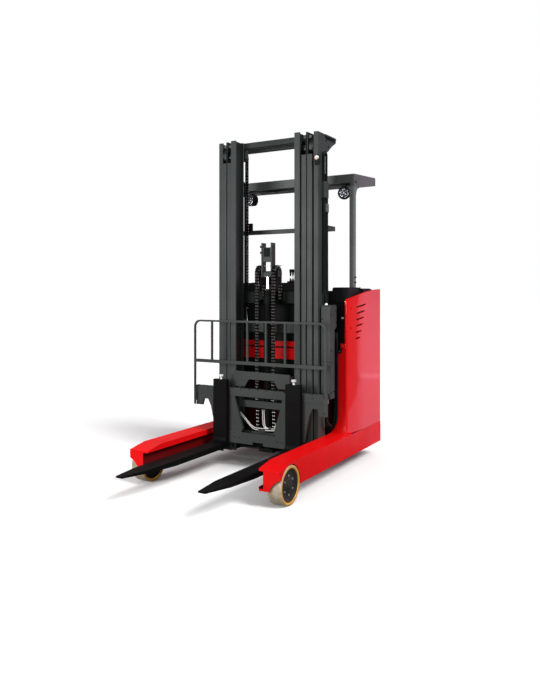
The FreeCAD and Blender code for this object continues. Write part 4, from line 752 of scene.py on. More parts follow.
for s, side in bothSides:
    body = "load_wheel_" + side
    centre, hubHalf = tyreAndHub("load_wheel", "_" + side)
    faceX = centre.x + s * (hubHalf - wheelLook["dish"])
    grown("load_wheel_bolts_" + side, "ring", holderOf(onePoint), "zincPlate", body,
          {"Part": bolt12, "Count": wheelLook["bolts"], "Radius": wheelLook["boltRing"],
           "Centre": (faceX, centre.y, centre.z), "Turn": (0, s * math.pi / 2, 0)})
    r = wheelLook["capRadius"]
    lathed("load_wheel_cap_" + side, "hubBlack", body,
           [(capped((r, 0), (r, 0.002), (r * 0.8, 0.0045), top=0.0055), (s, 0, 0),
             (centre.x + s * (hubHalf - 0.002), centre.y, centre.z))])
tyreAndHub("drive_wheel")
low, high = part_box("caster_wheels")
centre, r = (low + high) / 2, casterLook["radius"]
tyreRubber("casterRubber", centre, r, polyurethane)
half = [(casterLook["bore"], 0.019), (0.030, 0.019), (0.034, 0.014), (0.044, 0.014), (0.047, 0.020),
        (r - 0.005, 0.020), (r, 0.015)]
lathed("caster_wheels_shown", "casterRubber", "caster_wheel",
       [(mirrored(half), leftward, *[centre + Vector((s * casterLook["apart"], 0, 0)) for s in (-1, 1)])], 64,
       stands="caster_wheels", closed=True)
print("wheels made")

# leaf chains
chainSizes = {"pitch": 0.0112, "plate": 0.0044, "pinRadius": 0.0042, "pinSides": 8, "width": 0.030}


def chainLink(name, depth):
    # plates and pins of two pitches of leaf chain along Z; X is across the chain
    pitch, plate, width = chainSizes["pitch"], chainSizes["plate"], chainSizes["width"]
    half = depth / 2
    wing = [(half * 0.55, -half), (half, -half * 0.3), (half * 0.72, pitch / 2), (half, pitch + half * 0.3),
            (half * 0.55, pitch + half)]
    outline = wing + [(-y, z) for y, z in wing[::-1]]
    bm = bmesh.new()
    for across, base in ((-0.42, 0), (0, 0), (0.42, 0), (-0.21, pitch), (0.21, pitch)):
        x = width * across
        addPrism(bm, [(y, z + base) for y, z in outline], x - plate / 2, x + plate / 2, 0)
    pins = bmesh.new()
    for target, radius, z in ((bm, chainSizes["pinRadius"], pitch), (pins, half * 0.92, 0)):
        addLathe(target, steps((radius, width)), (-width / 2, 0, z), (1, 0, 0), chainSizes["pinSides"])
    return (("", template(name, bm), "oiledPlates"), ("_pins", template(name + "Pins", pins), "chainPin"))


def chainRun(name, link, points, body):
    # plates and pins of one run
    values = {"Pitch": 2 * chainSizes["pitch"]}
    return [grown(name + ending, "path", addObject("path", newCurve("path", "POLY", points)[0]), coat, body,
                  {**values, "Part": part}) for ending, part, coat in link]


liftLow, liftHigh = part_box("lift_chains")
pulleyLow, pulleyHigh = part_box("chain_pulleys")
mastLow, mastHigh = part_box("mast_chains")
pulley = (pulleyLow + pulleyHigh) / 2
liftX, liftY = liftHigh.x - 0.015, (liftLow.y + liftHigh.y) / 2
mastX, mastY = mastHigh.x - 0.014, (mastLow.y + mastHigh.y) / 2
chains = {
    # over is the radius of the turn over the pulley, head its height; foot and tail are the runs' lower ends
    "lift": {"x": liftX, "y": liftY, "depth": liftHigh.y - liftLow.y, "over": pulley.y - liftY, "head": pulley.z,
             "foot": liftLow.z + 0.012, "tail": 1.255, "body": "chain_crosshead", "below": "inner_mast",
             "joint": "fork_lift", "keep": 0.225},
    "mast": {"x": mastX, "y": mastY, "depth": mastHigh.y - mastLow.y, "over": 0.0433, "head": mastHigh.z,
             "foot": mastLow.z + 0.010, "tail": 1.20, "body": "middle_mast", "below": "outer_mast",
             "joint": "middle_mast_lift", "keep": 0.125},
}
links = {}
for kind, chain in chains.items():
    links[kind] = chainLink(kind + "Link", chain["depth"])
    body, below, over, head = chain["body"], chain["below"], chain["over"], chain["head"]
    for s, side in bothSides[::-1]:
        x, y = s * chain["x"], chain["y"]
        name = kind + "_chain_%s_" + side
        for run in chainRun(name % "front", links[kind], [(x, y, chain["foot"]), (x, y, head)], body):
            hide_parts(kind + "_chains")
            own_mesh(run)
        turn = [math.pi * (1 - i / 14) for i in range(15)]
        chainRun(name % "over", links[kind],
                 [(x, y + over * (1 + math.cos(t)), head + over * math.sin(t)) for t in turn], body)
        # the rear run's ends are on two bodies
        rear = [(x, y + 2 * over, head), (x, y + 2 * over, chain["tail"])]
        for run in chainRun(name % "rear", links[kind], rear, below):
            run.parent = None
            del run["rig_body"]
            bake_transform(run, below, body, start=rear[1], end=rear[0])
    print(kind, "chains made")

hoseRadius, liftPipeRadius, carriagePipeRadius = 0.0085, 0.0088, 0.0036

# mast fittings
mastFittings = {
    "boltRows": (0.62, 0.98, 1.34, 1.70, 2.06),     # heights of the bolts on the outer rails' sides
    "gussetBolts": ((0.018, 0.045), (0.055, 0.085), (0.125, 0.035)),
    "railPins": ((0.034, 0.0115), (0.122, 0.0085)),     # how far below the rail's head, and radius
    "lowBar": 1.08,     # top of the outer stage's bar that holds the chains' ends
}
(outerLow, outerHigh), (middleLow, middleHigh), (innerLow, innerHigh) = rails.values()
headLow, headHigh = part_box("chain_crosshead")
keeperY = (headLow.y + headHigh.y) / 2
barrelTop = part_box("lift_cylinder_barrels")[1].z
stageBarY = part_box("inner_mast_crossmembers")[0].y
sheaveRadius = (pulleyHigh.z - pulleyLow.z) / 2
lowBar = mastFittings["lowBar"]
chainTailY = mastY + 2 * chains["mast"]["over"]
pipeLine = [(0.306, 0.3845, lowBar), (0.306, 0.386, 1.11), (0.306, 0.394, 1.16), (0.306, 0.400, 1.25),
            (0.306, 0.400, 1.6), (0.306, 0.400, 2.15), (0.308, 0.398, 2.190), (0.322, 0.395, 2.212),
            (0.352, 0.391, 2.214), (0.388, 0.385, 2.214)]
for s, side in bothSides:
    x, y, z = s * outerHigh.x, outerHigh.y, outerHigh.z
    fasten("mast_side_bolts_" + side, bolt12, "outer_mast", "greasedRoller", ((s, 0, 0), [
        (x, y + dy, z - dz) for dy, dz in mastFittings["gussetBolts"]] + [
        (x, y - 0.016, row) for row in mastFittings["boltRows"]]))
    # flange along the top of the gusset and a bead where it meets the rail
    blocks("gusset_flange_" + side, "mastGrey", "outer_mast",
           [(x, x + s * 0.010, y - 0.006, y + 0.178, z - 0.014, z - 0.002),
            (x, x + s * 0.006, y + 0.166, y + 0.182, z - 0.036, z - 0.012)], 0.002)
    blocks("gusset_shadow_" + side, "darkPanel", "outer_mast",
           [(x, x + s * 0.003, y + 0.012, y + 0.150, z - 0.034, z - 0.018)])
    blocks("inner_wear_strip_" + side, "grainedPlastic", "inner_mast",
           [(s * (innerHigh.x - 0.030), s * (innerHigh.x - 0.014), innerLow.y - 0.0015, innerLow.y,
             innerLow.z + 0.02, innerLow.z + 0.34)], 0.0004)
    at, r, half = middleOf("chain_pulleys", s), sheaveRadius, 0.017
    groove = [(0.0165, half - 0.002), (0.0165, half), (r, half), (r, half - 0.0045), (r - 0.012, half - 0.006)]
    lathed("lift_sheave_" + side, "oiledChain", "chain_crosshead", [(mirrored(groove), leftward, at)], 56,
           stands="chain_pulleys", closed=True)
    y0, y1 = pulleyLow.y + 0.010, pulleyHigh.y - 0.008
    inside, outside = at.x - s * 0.0180, at.x + s * 0.0180
    blocks("chain_guard_" + side, "grainedPlastic", "chain_crosshead",
           [(inside - s * 0.0020, inside, y0, y1, at.z - 0.088, at.z - 0.020),
            (outside, outside + s * 0.0020, y0, y1, at.z - 0.088, at.z + 0.030),
            (inside, outside, at.y - 0.002, at.y + 0.002, at.z - 0.088, at.z - 0.050)], 0.0006)
    rod = middleOf("lift_cylinder_rods", s)
    turned("lift_gland_" + side, "greasedRoller", "outer_mast",
           [([(0.0162, 0), (0.0235, 0), (0.0235, 0.006), (0.021, 0.009), (0.0162, 0.009)], up,
             (rod.x, rod.y, barrelTop))], 24)
    # pipe from the low bar to the lift cylinder, inside the chain's loop
    pipe("lift_pipe_" + side, "hoseRubber", "outer_mast", [(s * x, y, z) for x, y, z in pipeLine],
         liftPipeRadius)
    turned("lift_pipe_fitting_" + side, "zincPlate", "outer_mast",
           [(capped((0.0125, 0), (0.0125, 0.014), (0.0108, 0.016), (0.0108, 0.026)), up,
             (s * 0.306, 0.3845, lowBar))], 6)
    # what holds the chains' ends
    blocks("mast_chain_anchor_" + side, "mastGrey", "outer_mast",
           [(s * 0.290, s * 0.322, 0.395, chainTailY + 0.011, lowBar - 0.045, lowBar)], 0.002)
    foot = (s * mastX, chainTailY, lowBar)
    turned("mast_chain_bolt_" + side, "zincPlate", "outer_mast",
           [(capped((0.007, 0), (0.007, 0.110), (0.011, 0.112), (0.011, 0.122)), up, foot),
            (steps((0.012, 0.012)), up, foot)], 6)
    blocks("lift_chain_block_" + side, "darkPanel", "inner_mast",
           [(s * (liftX - 0.017), s * (liftX + 0.017), pulley.y * 2 - liftY - 0.008, stageBarY + 0.001, 1.241,
             1.268)], 0.002)
turned("rail_head_pins", "greyPlastic", "middle_mast",
       [(capped((r, 0), (r, 0.003), (r * 0.55, 0.0045), (r * 0.5, 0.002)), forward,
         (s * x, middleLow.y + 0.018, middleHigh.z - drop))
        for s in (1, -1) for x in (middleHigh.x - 0.0205, middleHigh.x - 0.0635)
        for drop, r in mastFittings["railPins"]], 16, "steel")
# a thin dark sheet in the crosshead's recess: painted shade
blocks("crosshead_recess", "grainedPlastic", "chain_crosshead",
       [(-0.0245, 0.0245, headLow.y - 0.0004, headLow.y + 0.004, headHigh.z - 0.105, headHigh.z - 0.038)], 0.0004)
turned("chain_keeper", "zincPlate", "chain_crosshead",
       [(steps((0.0026, 0.226)), (1, 0, 0), (-0.113, keeperY, headHigh.z - 0.175))], 10)
fasten("crosshead_bolts", bolt16, "chain_crosshead", "greasedRoller", (forward, [
    (s * 0.048, headLow.y, headHigh.z - dz) for s in (1, -1) for dz in (0.03, 0.075)]))
turned("free_lift_gland", "greasedRoller", "inner_mast",
       [([(0.0243, 0), (0.0345, 0), (0.0345, 0.008), (0.031, 0.012), (0.0243, 0.012)], up,
         (0, keeperY + 0.001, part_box("free_lift_barrel")[1].z))])

# sensor, boxes and hoses on the near rail
sensor = {"x": 0.431, "z": 2.3015, "radius": 0.0155}
sx, sz, sr, sy = sensor["x"], sensor["z"], sensor["radius"], outerLow.y - 0.010
bm = bmesh.new()
plate = [(-0.022, -0.052), (0.014, -0.052), (0.020, -0.040), (0.020, 0.008), (0.008, 0.024), (-0.014, 0.024),
         (-0.022, 0.010)]
addPrism(bm, [(sx + dx, sz + dz) for dx, dz in plate], sy, outerLow.y, 1)
finish(collect("sensor_bracket", bm), "grainedPlastic", "outer_mast", 0.002)
dome = capped((sr, 0), (sr, 0.004), (sr * 0.92, 0.009), (sr * 0.7, 0.0135), (sr * 0.38, 0.0165), top=0.0175)
turned("sensor_ball", "whitePlastic", "outer_mast", [(dome, forward, (sx, sy - 0.003, sz))])
turned("sensor_ring", "orangePlastic", "outer_mast",
       [(capped((sr + 0.0015, 0), (sr + 0.0015, 0.003), (sr, 0.003)), forward, (sx - 0.004, sy, sz))])
turned("sensor_screw", "oiledChain", "outer_mast",
       [(steps((0.005, 0.003)), forward, (sx - 0.001, sy, sz - 0.036))], 12)
hoseLow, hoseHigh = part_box("mast_hoses")
coverLow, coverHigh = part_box("mast_side_cover")
blocks("hose_junction", "greyPlastic", "outer_mast",
       [(outerHigh.x, outerHigh.x + 0.026, hoseLow.y + 0.040, hoseLow.y + 0.084, 1.915, 1.978)], 0.004)
turned("cover_knob", "whitePlastic", "outer_mast",
       [(capped((0.004, 0), (0.004, 0.006), (0.008, 0.009), (0.0108, 0.015), (0.0108, 0.020), (0.007, 0.026),
                top=0.028), up, (coverLow.x + 0.044, coverLow.y + 0.024, coverHigh.z - 0.014))], 20)
fasten("side_cover_screws", screw10, "outer_mast", "oiledChain", ((1, 0, 0), [
    (coverHigh.x, coverLow.y + dy, z) for dy, z in
    ((0.012, 0.60), (0.060, 0.60), (0.012, 0.90), (0.012, 1.16), (0.096, 1.10), (0.096, 1.19))]), (forward, [
        (coverLow.x + dx, coverLow.y, z) for dx, z in ((0.022, 0.585), (0.078, 0.585), (0.022, 1.13))]))
blocks("side_cover_seam", "darkPanel", "outer_mast",
       [(coverHigh.x - 0.0005, coverHigh.x + 0.0006, coverLow.y + 0.002, coverLow.y + 0.071, 0.8185, 0.8205),
        (coverLow.x + 0.014, coverHigh.x, coverLow.y - 0.0006, coverLow.y + 0.0005, 0.8185, 0.8205)], 0.0)
blocks("tie_bar_clip", "grainedPlastic", "outer_mast",
       [(-0.350, -0.292, 0.484, 0.500, 1.822, 1.884), (-0.342, -0.300, 0.476, 0.484, 1.836, 1.870)], 0.003)
sideHoses = {
    # both go down from the hose clamp into the side cover
    "rail_hose": [(0.4425, 0.322, 2.03), (0.4425, 0.322, 1.90), (0.4430, 0.322, 1.60), (0.4430, 0.320, 1.225)],
    "rail_hose_outer": [(0.4478, 0.3385, 2.03), (0.4478, 0.3385, 1.90), (0.4478, 0.3385, 1.60),
                        (0.4520, 0.3345, 1.225)],
}
for name, line in sideHoses.items():
    pipe(name, "hoseRubber", "outer_mast", line, hoseRadius)
ferrule = capped((0.0125, 0), (0.0125, 0.012), (0.0112, 0.014), (0.0112, 0.034), (0.0095, 0.036), (0.0095, 0.0361))
turned("hose_ferrules", "zincPlate", "outer_mast",
       [(ferrule, up, (hoseHigh.x - 0.009, hoseLow.y + 0.009, coverLow.z - 0.037))], 20)

# chain tails, pipes and fittings in the carriage
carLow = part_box("fork_carriage")[0]
tailY, pipeY = liftY + 0.012, carLow.y + 0.016
for s, side in bothSides:
    chainRun("lift_chain_tail_" + side, links["lift"], [(s * liftX, tailY, 0.315), (s * liftX, tailY, 0.448)],
             "fork_carriage")
    turned("lift_anchor_" + side, "greasedRoller", "fork_carriage",
           [(steps((0.008, 0.022), (0.013, 0.034), (0.008, 0.05)), up, (s * liftX, tailY, 0.255))], 12)
steelPipes = {
    # the pipe's line, and how far the second one stands from the first
    "left": ([(-0.181, 0.402), (-0.128, 0.352), (-0.079, 0.306), (-0.020, 0.303), (0.040, 0.306), (0.096, 0.309),
              (0.112, 0.318), (0.120, 0.346)], (0.0, -0.0135)),
    "rise": ([(0.004, 0.440), (0.006, 0.380), (0.010, 0.330), (0.022, 0.312), (0.040, 0.310)], (0.0135, 0.0)),
}
for name, (line, (dx, dz)) in steelPipes.items():
    for i in range(2):
        pipe("carriage_pipe_%s_%d" % (name, i), "brightZinc", "fork_carriage",
             [(x + dx * i, pipeY, z + dz * i) for x, z in line], carriagePipeRadius)
blocks("carriage_manifold", "greasedRoller", "fork_carriage",
       [(-0.030, 0.028, pipeY - 0.008, pipeY + 0.014, 0.276, 0.298),
        (0.060, 0.080, pipeY - 0.004, pipeY + 0.012, 0.300, 0.322)], 0.002)
turned("pipe_nuts", "zincPlate", "fork_carriage",
       [(steps((0.0075, 0.012)), direction, (x, pipeY, z)) for x, z, direction in
        ((-0.181, 0.402, (-0.7, 0, 0.7)), (-0.182, 0.388, (-0.7, 0, 0.7)), (0.120, 0.344, up), (0.004, 0.436, up),
         (0.0175, 0.436, up))], 6)

# fork and carriage face fittings
faceLow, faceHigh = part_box("carriage_face")
forkHigh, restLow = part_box("forks")[1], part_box("load_backrest")[0]
latch = capped((0.0085, 0), (0.0085, 0.022), (0.0175, 0.022), (0.0180, 0.024), (0.0180, 0.033), (0.0170, 0.036))
turned("fork_latch_pins", "brightZinc", "fork_face",
       [(latch, up, (s * (forkHigh.x - 0.060), faceLow.y - 0.020, forkHigh.z - 0.0005)) for s in (1, -1)], 24)
fasten("face_bolts", bolt12, "fork_face", "greasedRoller", (forward, [
    (s * (faceHigh.x - 0.007), restLow.y, z) for s in (1, -1) for z in (0.594, 0.476)]))
fasten("face_studs", screw10, "fork_face", "greasedRoller", (forward, [
    (x, faceLow.y, z) for x, z in ((-0.205, 0.232), (-0.165, 0.232), (0.165, 0.232), (0.205, 0.232),
                                   (0.455, 0.575), (-0.455, 0.575))]))

# body: bolts, seams, louvres, brackets, hoses
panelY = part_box("front_bulkhead")[0].y
sideLow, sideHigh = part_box("body_sides")
beamLow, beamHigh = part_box("chassis_crossbeam")
bodyLook = {"frontSlant": 8.1, "tabX": 0.5195, "hoseStep": 0.018, "bands": (0.500, 0.760)}
knob = capped((0.006, 0), (0.006, 0.010), (0.0135, 0.012), (0.0150, 0.018), (0.0140, 0.025), (0.008, 0.028),
              top=0.0285)
slant = math.radians(bodyLook["frontSlant"])
for s, side in bothSides:
    fasten("panel_bolts_" + side, bolt16, "chassis", "bodyRed", (
        (s * math.cos(slant), -math.sin(slant), 0), [(s * 0.5776, 0.490, z) for z in (1.207, 1.060)]))
    blocks("louvre_mesh_" + side, "darkPanel", "chassis",
           [(s * (sideHigh.x - 0.0175), s * (sideHigh.x - 0.0150), 0.545, 0.740, 0.930, 1.245)])
    blocks("return_seam_" + side, "darkPanel", "chassis",
           [(s * (sideHigh.x + 0.0002), s * (sideHigh.x - 0.010), 0.470, sideHigh.y, sideLow.z - 0.0012,
             sideLow.z + 0.0012)])
    # tab that holds the return to the chassis, with its knob
    tabX = s * bodyLook["tabX"]
    blocks("return_tab_" + side, "bodyRed", "chassis",
           [(tabX - s * 0.002, tabX + s * 0.034, sideLow.y - 0.006, sideLow.y, 0.903, 0.941)], 0.0015)
    turned("return_knob_" + side, "grainedPlastic", "chassis",
           [(knob, forward, (tabX, sideLow.y + 0.001, 0.884))], 24)
    turned("return_knob_cap_" + side, "zincPlate", "chassis",
           [(capped((0.0042, 0), (0.0042, 0.002), top=0.0025), forward, (tabX, sideLow.y - 0.0275, 0.886)),
            (capped((0.0048, 0), (0.0048, 0.004), top=0.0045), forward,
             (tabX + s * 0.020, sideLow.y - 0.006, 0.925))], 12)
    spots = []
    for i in range(2):
        dx = bodyLook["hoseStep"] * i
        line = [(0.462, 0.446, 1.02), (0.470, 0.415, 1.00), (0.476, 0.4135, 0.94), (0.477, 0.4135, 0.70),
                (0.477, 0.4135, 0.46), (0.474, 0.4135, 0.36), (0.450, 0.4125, 0.315), (0.420, 0.4130, 0.298 - dx),
                (0.400, 0.418, 0.288 - dx), (0.398, 0.4295, 0.287 - dx)]
        pipe("chassis_hose_%s_%d" % (side, i), "hoseRubber", "chassis",
             [(s * (x + dx), y, z) for x, y, z in line], hoseRadius)
        spots += [(s * (0.477 + dx), 0.4135, z) for z in bodyLook["bands"]]
    turned("chassis_hose_bands_" + side, "oiledChain", "chassis", [(steps((0.0100, 0.012)), up, *spots)], 16)
slotX = beamHigh.x - 0.004
blocks("crossbeam_slot", "darkPanel", "chassis",
       [(-slotX, slotX, beamLow.y + 0.0015, beamLow.y + 0.004, beamHigh.z - 0.0532, beamHigh.z - 0.0408)], 0.0)
fasten("crossbeam_bolts", screw10, "chassis", "greasedRoller", (forward, [
    (i * 0.06, beamLow.y + 0.0010, beamHigh.z - 0.047) for i in range(-7, 8)] + [
    (s * 0.44, beamLow.y, z) for s in (1, -1) for z in (0.822, 0.918)]))
fasten("bulkhead_screws", screw10, "chassis", "oiledChain", (forward, [
    (s * 0.522, panelY, z) for s in (1, -1) for z in (1.150, 0.70)] + [(x, panelY, 1.19) for x in (-0.3, 0, 0.3)]))
turned("bulkhead_fittings", "brightZinc", "chassis",
       [(capped((0.0085, 0), (0.0085, 0.006), (0.006, 0.008), (0.006, 0.016)), forward,
         *[(x, panelY, z) for x, z in ((0.522, 1.132), (-0.522, 1.132), (-0.052, 1.054), (-0.030, 1.047))])], 12)


def slats(name, outline, ends, count, start, step, coat="darkPanel"):
    # a row of prisms with one outline; ends are where a prism starts and stops, and its axis
    bm = bmesh.new()
    addPrism(bm, outline, *ends)
    grown(name, "row", holderOf(onePoint), coat, "chassis",
          {"Part": template(name + "Part", bm), "Count": count, "Start": start, "Step": step})


for row, z in (("upper", 0.975), ("lower", 1.10)):
    slats("bulkhead_vents_" + row, [(-0.003, -0.004), (0.0035, -0.0025), (0.0035, 0.0025), (-0.003, 0.004)],
          (-0.028, 0.028, 0), 9, (-0.28, panelY - 0.003, z), (0.07, 0, 0))

# headlamps
lampLook = {"turn": 25.0, "cells": 6, "cellRadius": 0.0125, "ring": 0.0275, "fins": 5}
for s, side in bothSides:
    at = middleOf("headlamp_lenses", s)
    turn = math.radians(lampLook["turn"])
    ahead = Vector((s * math.sin(turn), -math.cos(turn), 0))
    u, v, _ = frameAlong(ahead)
    body = at - ahead * 0.0175
    can = [(0, -0.0285), (0.030, -0.0285), (0.032, -0.026)]
    for i in range(lampLook["fins"]):
        z, r = -0.0255 + i * 0.0062, 0.046 + 0.0008 * i
        can += [(r, z), (r, z + 0.0022), (0.038, z + 0.0026), (0.038, z + 0.0058)]
    can += [(0.0490, 0.0070), (0.0508, 0.0095), (0.0508, 0.0255), (0.0495, 0.0272), (0.0462, 0.0272),
            (0.0450, 0.0260), (0.0450, 0.0135), (0, 0.0135)]
    turned("headlamp_shell_" + side, "grainedPlastic", "chassis", [(can, ahead, body)], 64, stands="headlamps")
    bowl, count = lampLook["cellRadius"], lampLook["cells"]
    offsets = [(lampLook["ring"] * math.cos(2 * math.pi * i / count),
                lampLook["ring"] * math.sin(2 * math.pi * i / count)) for i in range(count)]
    cells = [body] + [body + u * a + v * b for a, b in offsets]
    dish = [(0, 0.0145), (bowl * 0.30, 0.0147), (bowl * 0.62, 0.0165), (bowl * 0.86, 0.0195), (bowl, 0.0225),
            (bowl + 0.0008, 0.0225), (bowl + 0.0008, 0.0140)]
    turned("headlamp_cells_" + side, "lampReflector", "chassis", [(dish, ahead, *cells)], 20)
    led = [(0, 0.0150), (0.0030, 0.0150), (0.0030, 0.0163), (0.0022, 0.0168), (0, 0.0169)]
    turned("headlamp_leds_" + side, "whitePlastic", "chassis", [(led, ahead, *cells)], 10, "lamp_glass")
    lens = [(0, 0.0238), (0.0445, 0.0238), (0.0445, 0.0248), (0.030, 0.0256), (0, 0.0260)]
    turned("headlamp_lens_" + side, "lampGlass", "chassis", [(lens, ahead, body)], 48, stands="headlamp_lenses")
    blocks("headlamp_bracket_" + side, "grainedPlastic", "chassis",
           [(body.x - dx, body.x + dx, body.y - dy, body.y + dy, low, high) for dx, dy, low, high in
            ((0.014, 0.0065, at.z + 0.044, carrierLow + 0.001), (0.026, 0.0095, at.z + 0.0480, at.z + 0.0535))],
           0.002)
print("fittings made")

# controls and dashboard
hullLow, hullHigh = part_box("dashboard")
leverLow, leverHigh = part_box("control_levers")
matLow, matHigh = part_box("platform_mat")
controlLook = {"levers": 3, "leverStep": 0.022, "plinth": 0.012, "ribStep": 0.018, "stopX": -0.125, "keyX": -0.065}
dashTop, switchY = hullHigh.z, hullLow.y + 0.066
base = dashTop + controlLook["plinth"]
feet = [(leverLow.x + 0.018 + controlLook["leverStep"] * i, (leverLow.y + leverHigh.y) / 2, base)
        for i in range(controlLook["levers"])]
boot = [(0.0105, 0), (0.0105, 0.003), (0.0085, 0.005), (0.0098, 0.008), (0.0078, 0.010), (0.0088, 0.013),
        (0.0066, 0.016), (0.0045, 0.020), (0.0042, 0.020), (0.0042, 0)]
grip = [(0, 0.040), (0.0055, 0.040), (0.0065, 0.048), (0.0085, 0.066), (0.0105, 0.080), (0.0108, 0.088),
        (0.0080, 0.0945), (0, 0.096)]
turned("lever_sticks", "hardChrome", "chassis", [(steps((0.0042, 0.070)), up, *feet)], 12)
turned("lever_boots", "matRubber", "chassis", [(boot, up, *feet)], 20)
turned("lever_knobs", "grainedPlastic", "chassis", [(grip, up, *feet)], 20)
blocks("lever_plinth", "grainedPlastic", "chassis",
       [(leverLow.x, leverHigh.x, leverLow.y, leverHigh.y, dashTop - 0.001, base)], 0.004, stands="control_levers")
blocks("dash_display", "displayGlass", "chassis",
       [(-0.300, -0.190, hullLow.y + 0.034, hullLow.y + 0.100, dashTop - 0.001, dashTop + 0.003)], 0.0015)
blocks("dash_display_frame", "greyPlastic", "chassis",
       [(-0.308, -0.182, hullLow.y + 0.027, hullLow.y + 0.107, dashTop - 0.001, dashTop + 0.0016)], 0.0015)
turned("stop_button", "redButton", "chassis",
       [(capped((0.010, 0), (0.010, 0.010), (0.019, 0.013), (0.0205, 0.018), (0.0185, 0.024), (0.010, 0.0275),
                top=0.028), up, (controlLook["stopX"], switchY, dashTop))])
turned("stop_collar", "orangePlastic", "chassis",
       [(capped((0.024, 0), (0.024, 0.003), (0.022, 0.004)), up,
         (controlLook["stopX"], switchY, dashTop))])
turned("key_switch", "zincPlate", "chassis",
       [(capped((0.011, 0), (0.011, 0.004), (0.009, 0.006), (0.003, 0.006), (0.003, 0.003)), up,
         (controlLook["keyX"], switchY, dashTop))], 24)
wheelLow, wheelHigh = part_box("steering_wheel")
wheelRadius = (wheelHigh.x - wheelLow.x) / 2
turned("steering_cap", "greyPlastic", "steering_wheel",
       [([(0, -0.014), (0.022, -0.014), (0.022, -0.011), (0.018, -0.009), (0, -0.0085)], up,
         (wheelLow.x + wheelRadius, wheelLow.y + wheelRadius, wheelHigh.z))])
turned("platform_pedal", "matRubber", "chassis",
       [(capped((0.055, 0), (0.055, 0.004), (0.050, 0.007)), up, (-0.02, 0.80, matHigh.z))], 6)
ribStep = controlLook["ribStep"]
slats("mat_ribs", [(-0.0035, 0), (0.0035, 0), (0.0022, 0.0022), (-0.0022, 0.0022)],
      (matLow.y + 0.012, matHigh.y - 0.012, 1), int((matHigh.x - matLow.x - 0.03) / ribStep),
      (matLow.x + ribStep, 0, matHigh.z - 0.0004), (ribStep, 0, 0), "matRubber")
print("controls made")

# rear and drive side
rearLow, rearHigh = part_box("rear_cover")
driveLow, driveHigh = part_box("drive_cover")
rearLook = {"slats": 12, "slatStep": 0.019, "handle": 0.010}
slats("rear_vents", [(-0.004, -0.004), (0.001, -0.003), (0.001, 0.003), (-0.004, 0.006)], (-0.13, 0.13, 0),
      rearLook["slats"], ((rearLow.x + rearHigh.x) / 2, rearHigh.y, rearLow.z + 0.22),
      (0, 0, rearLook["slatStep"]))
blocks("rear_seams", "darkPanel", "chassis",
       [(rearLow.x + 0.004, rearHigh.x - 0.004, rearHigh.y - 0.001, rearHigh.y + 0.0006, z, z + 0.0025)
        for z in (rearLow.z + 0.15, rearHigh.z - 0.30)], 0.0)
turned("rear_latches", "grainedPlastic", "chassis",
       [(capped((0.017, 0), (0.017, 0.003), (0.013, 0.0045), (0.004, 0.0045), (0.004, 0.002)), rearward,
         *[(x, rearHigh.y, rearHigh.z - 0.255) for x in (rearLow.x + 0.05, rearHigh.x - 0.05)])], 28)
fasten("rear_screws", screw10, "chassis", "zincPlate", (rearward, [
    (x, rearHigh.y, z) for x in (rearLow.x + 0.03, rearHigh.x - 0.03)
    for z in (rearLow.z + 0.06, rearLow.z + 0.55, rearHigh.z - 0.05)]))
blocks("drive_cover_seam", "darkPanel", "chassis",
       [(driveLow.x - 0.0006, driveLow.x + 0.001, driveLow.y + 0.03, driveHigh.y - 0.02, z, z + 0.0025)
        for z in (0.62, 1.05)], 0.0)
fasten("drive_cover_screws", screw10, "chassis", "zincPlate", ((-1, 0, 0), [
    (driveLow.x, y, z) for y in (driveLow.y + 0.05, driveHigh.y - 0.04)
    for z in (0.40, 0.59, 0.66, 1.02, 1.09, 1.22)]))
grabX = -sideHigh.x + 0.018
pipe("grab_handle", "matRubber", "chassis",
     [(grabX + dx, y, 1.225) for dx, y in ((0, 0.905), (0.045, 0.905), (0.045, 0.945), (0.045, 0.985),
                                           (0.045, 1.020), (0, 1.020))], rearLook["handle"])
blocks("platform_edge", "darkPanel", "chassis",
       [(matLow.x, matHigh.x, matHigh.y + 0.0005, matHigh.y + 0.011, matHigh.z - 0.0075, matHigh.z - 0.002)],
       0.002)
postSpots = [(y, z) for y in (0.616, 0.636) for z in (1.40, 1.44)] + [(0.622, 2.176), (0.650, 2.176)]
fasten("post_bolts", bolt12, "chassis", "greasedRoller",
       *[((s, 0, 0), [(s * 0.551, y, z) for y, z in postSpots]) for s in (1, -1)])
print("rear made")

# lean pad
padLook = {
    "voxel": 0.005,
    "shrink": 0.006,      # how much smaller it starts, on each side
    "pressure": 4.0,
    "steps": 20,
    "cap": 0.009,         # how far a point may move
    "seam": 0.0035,       # depth of the sewn channels
    "seamHeights": (0.14, 0.28),
    "fill": 0.8,
    "piping": 0.0028,
}


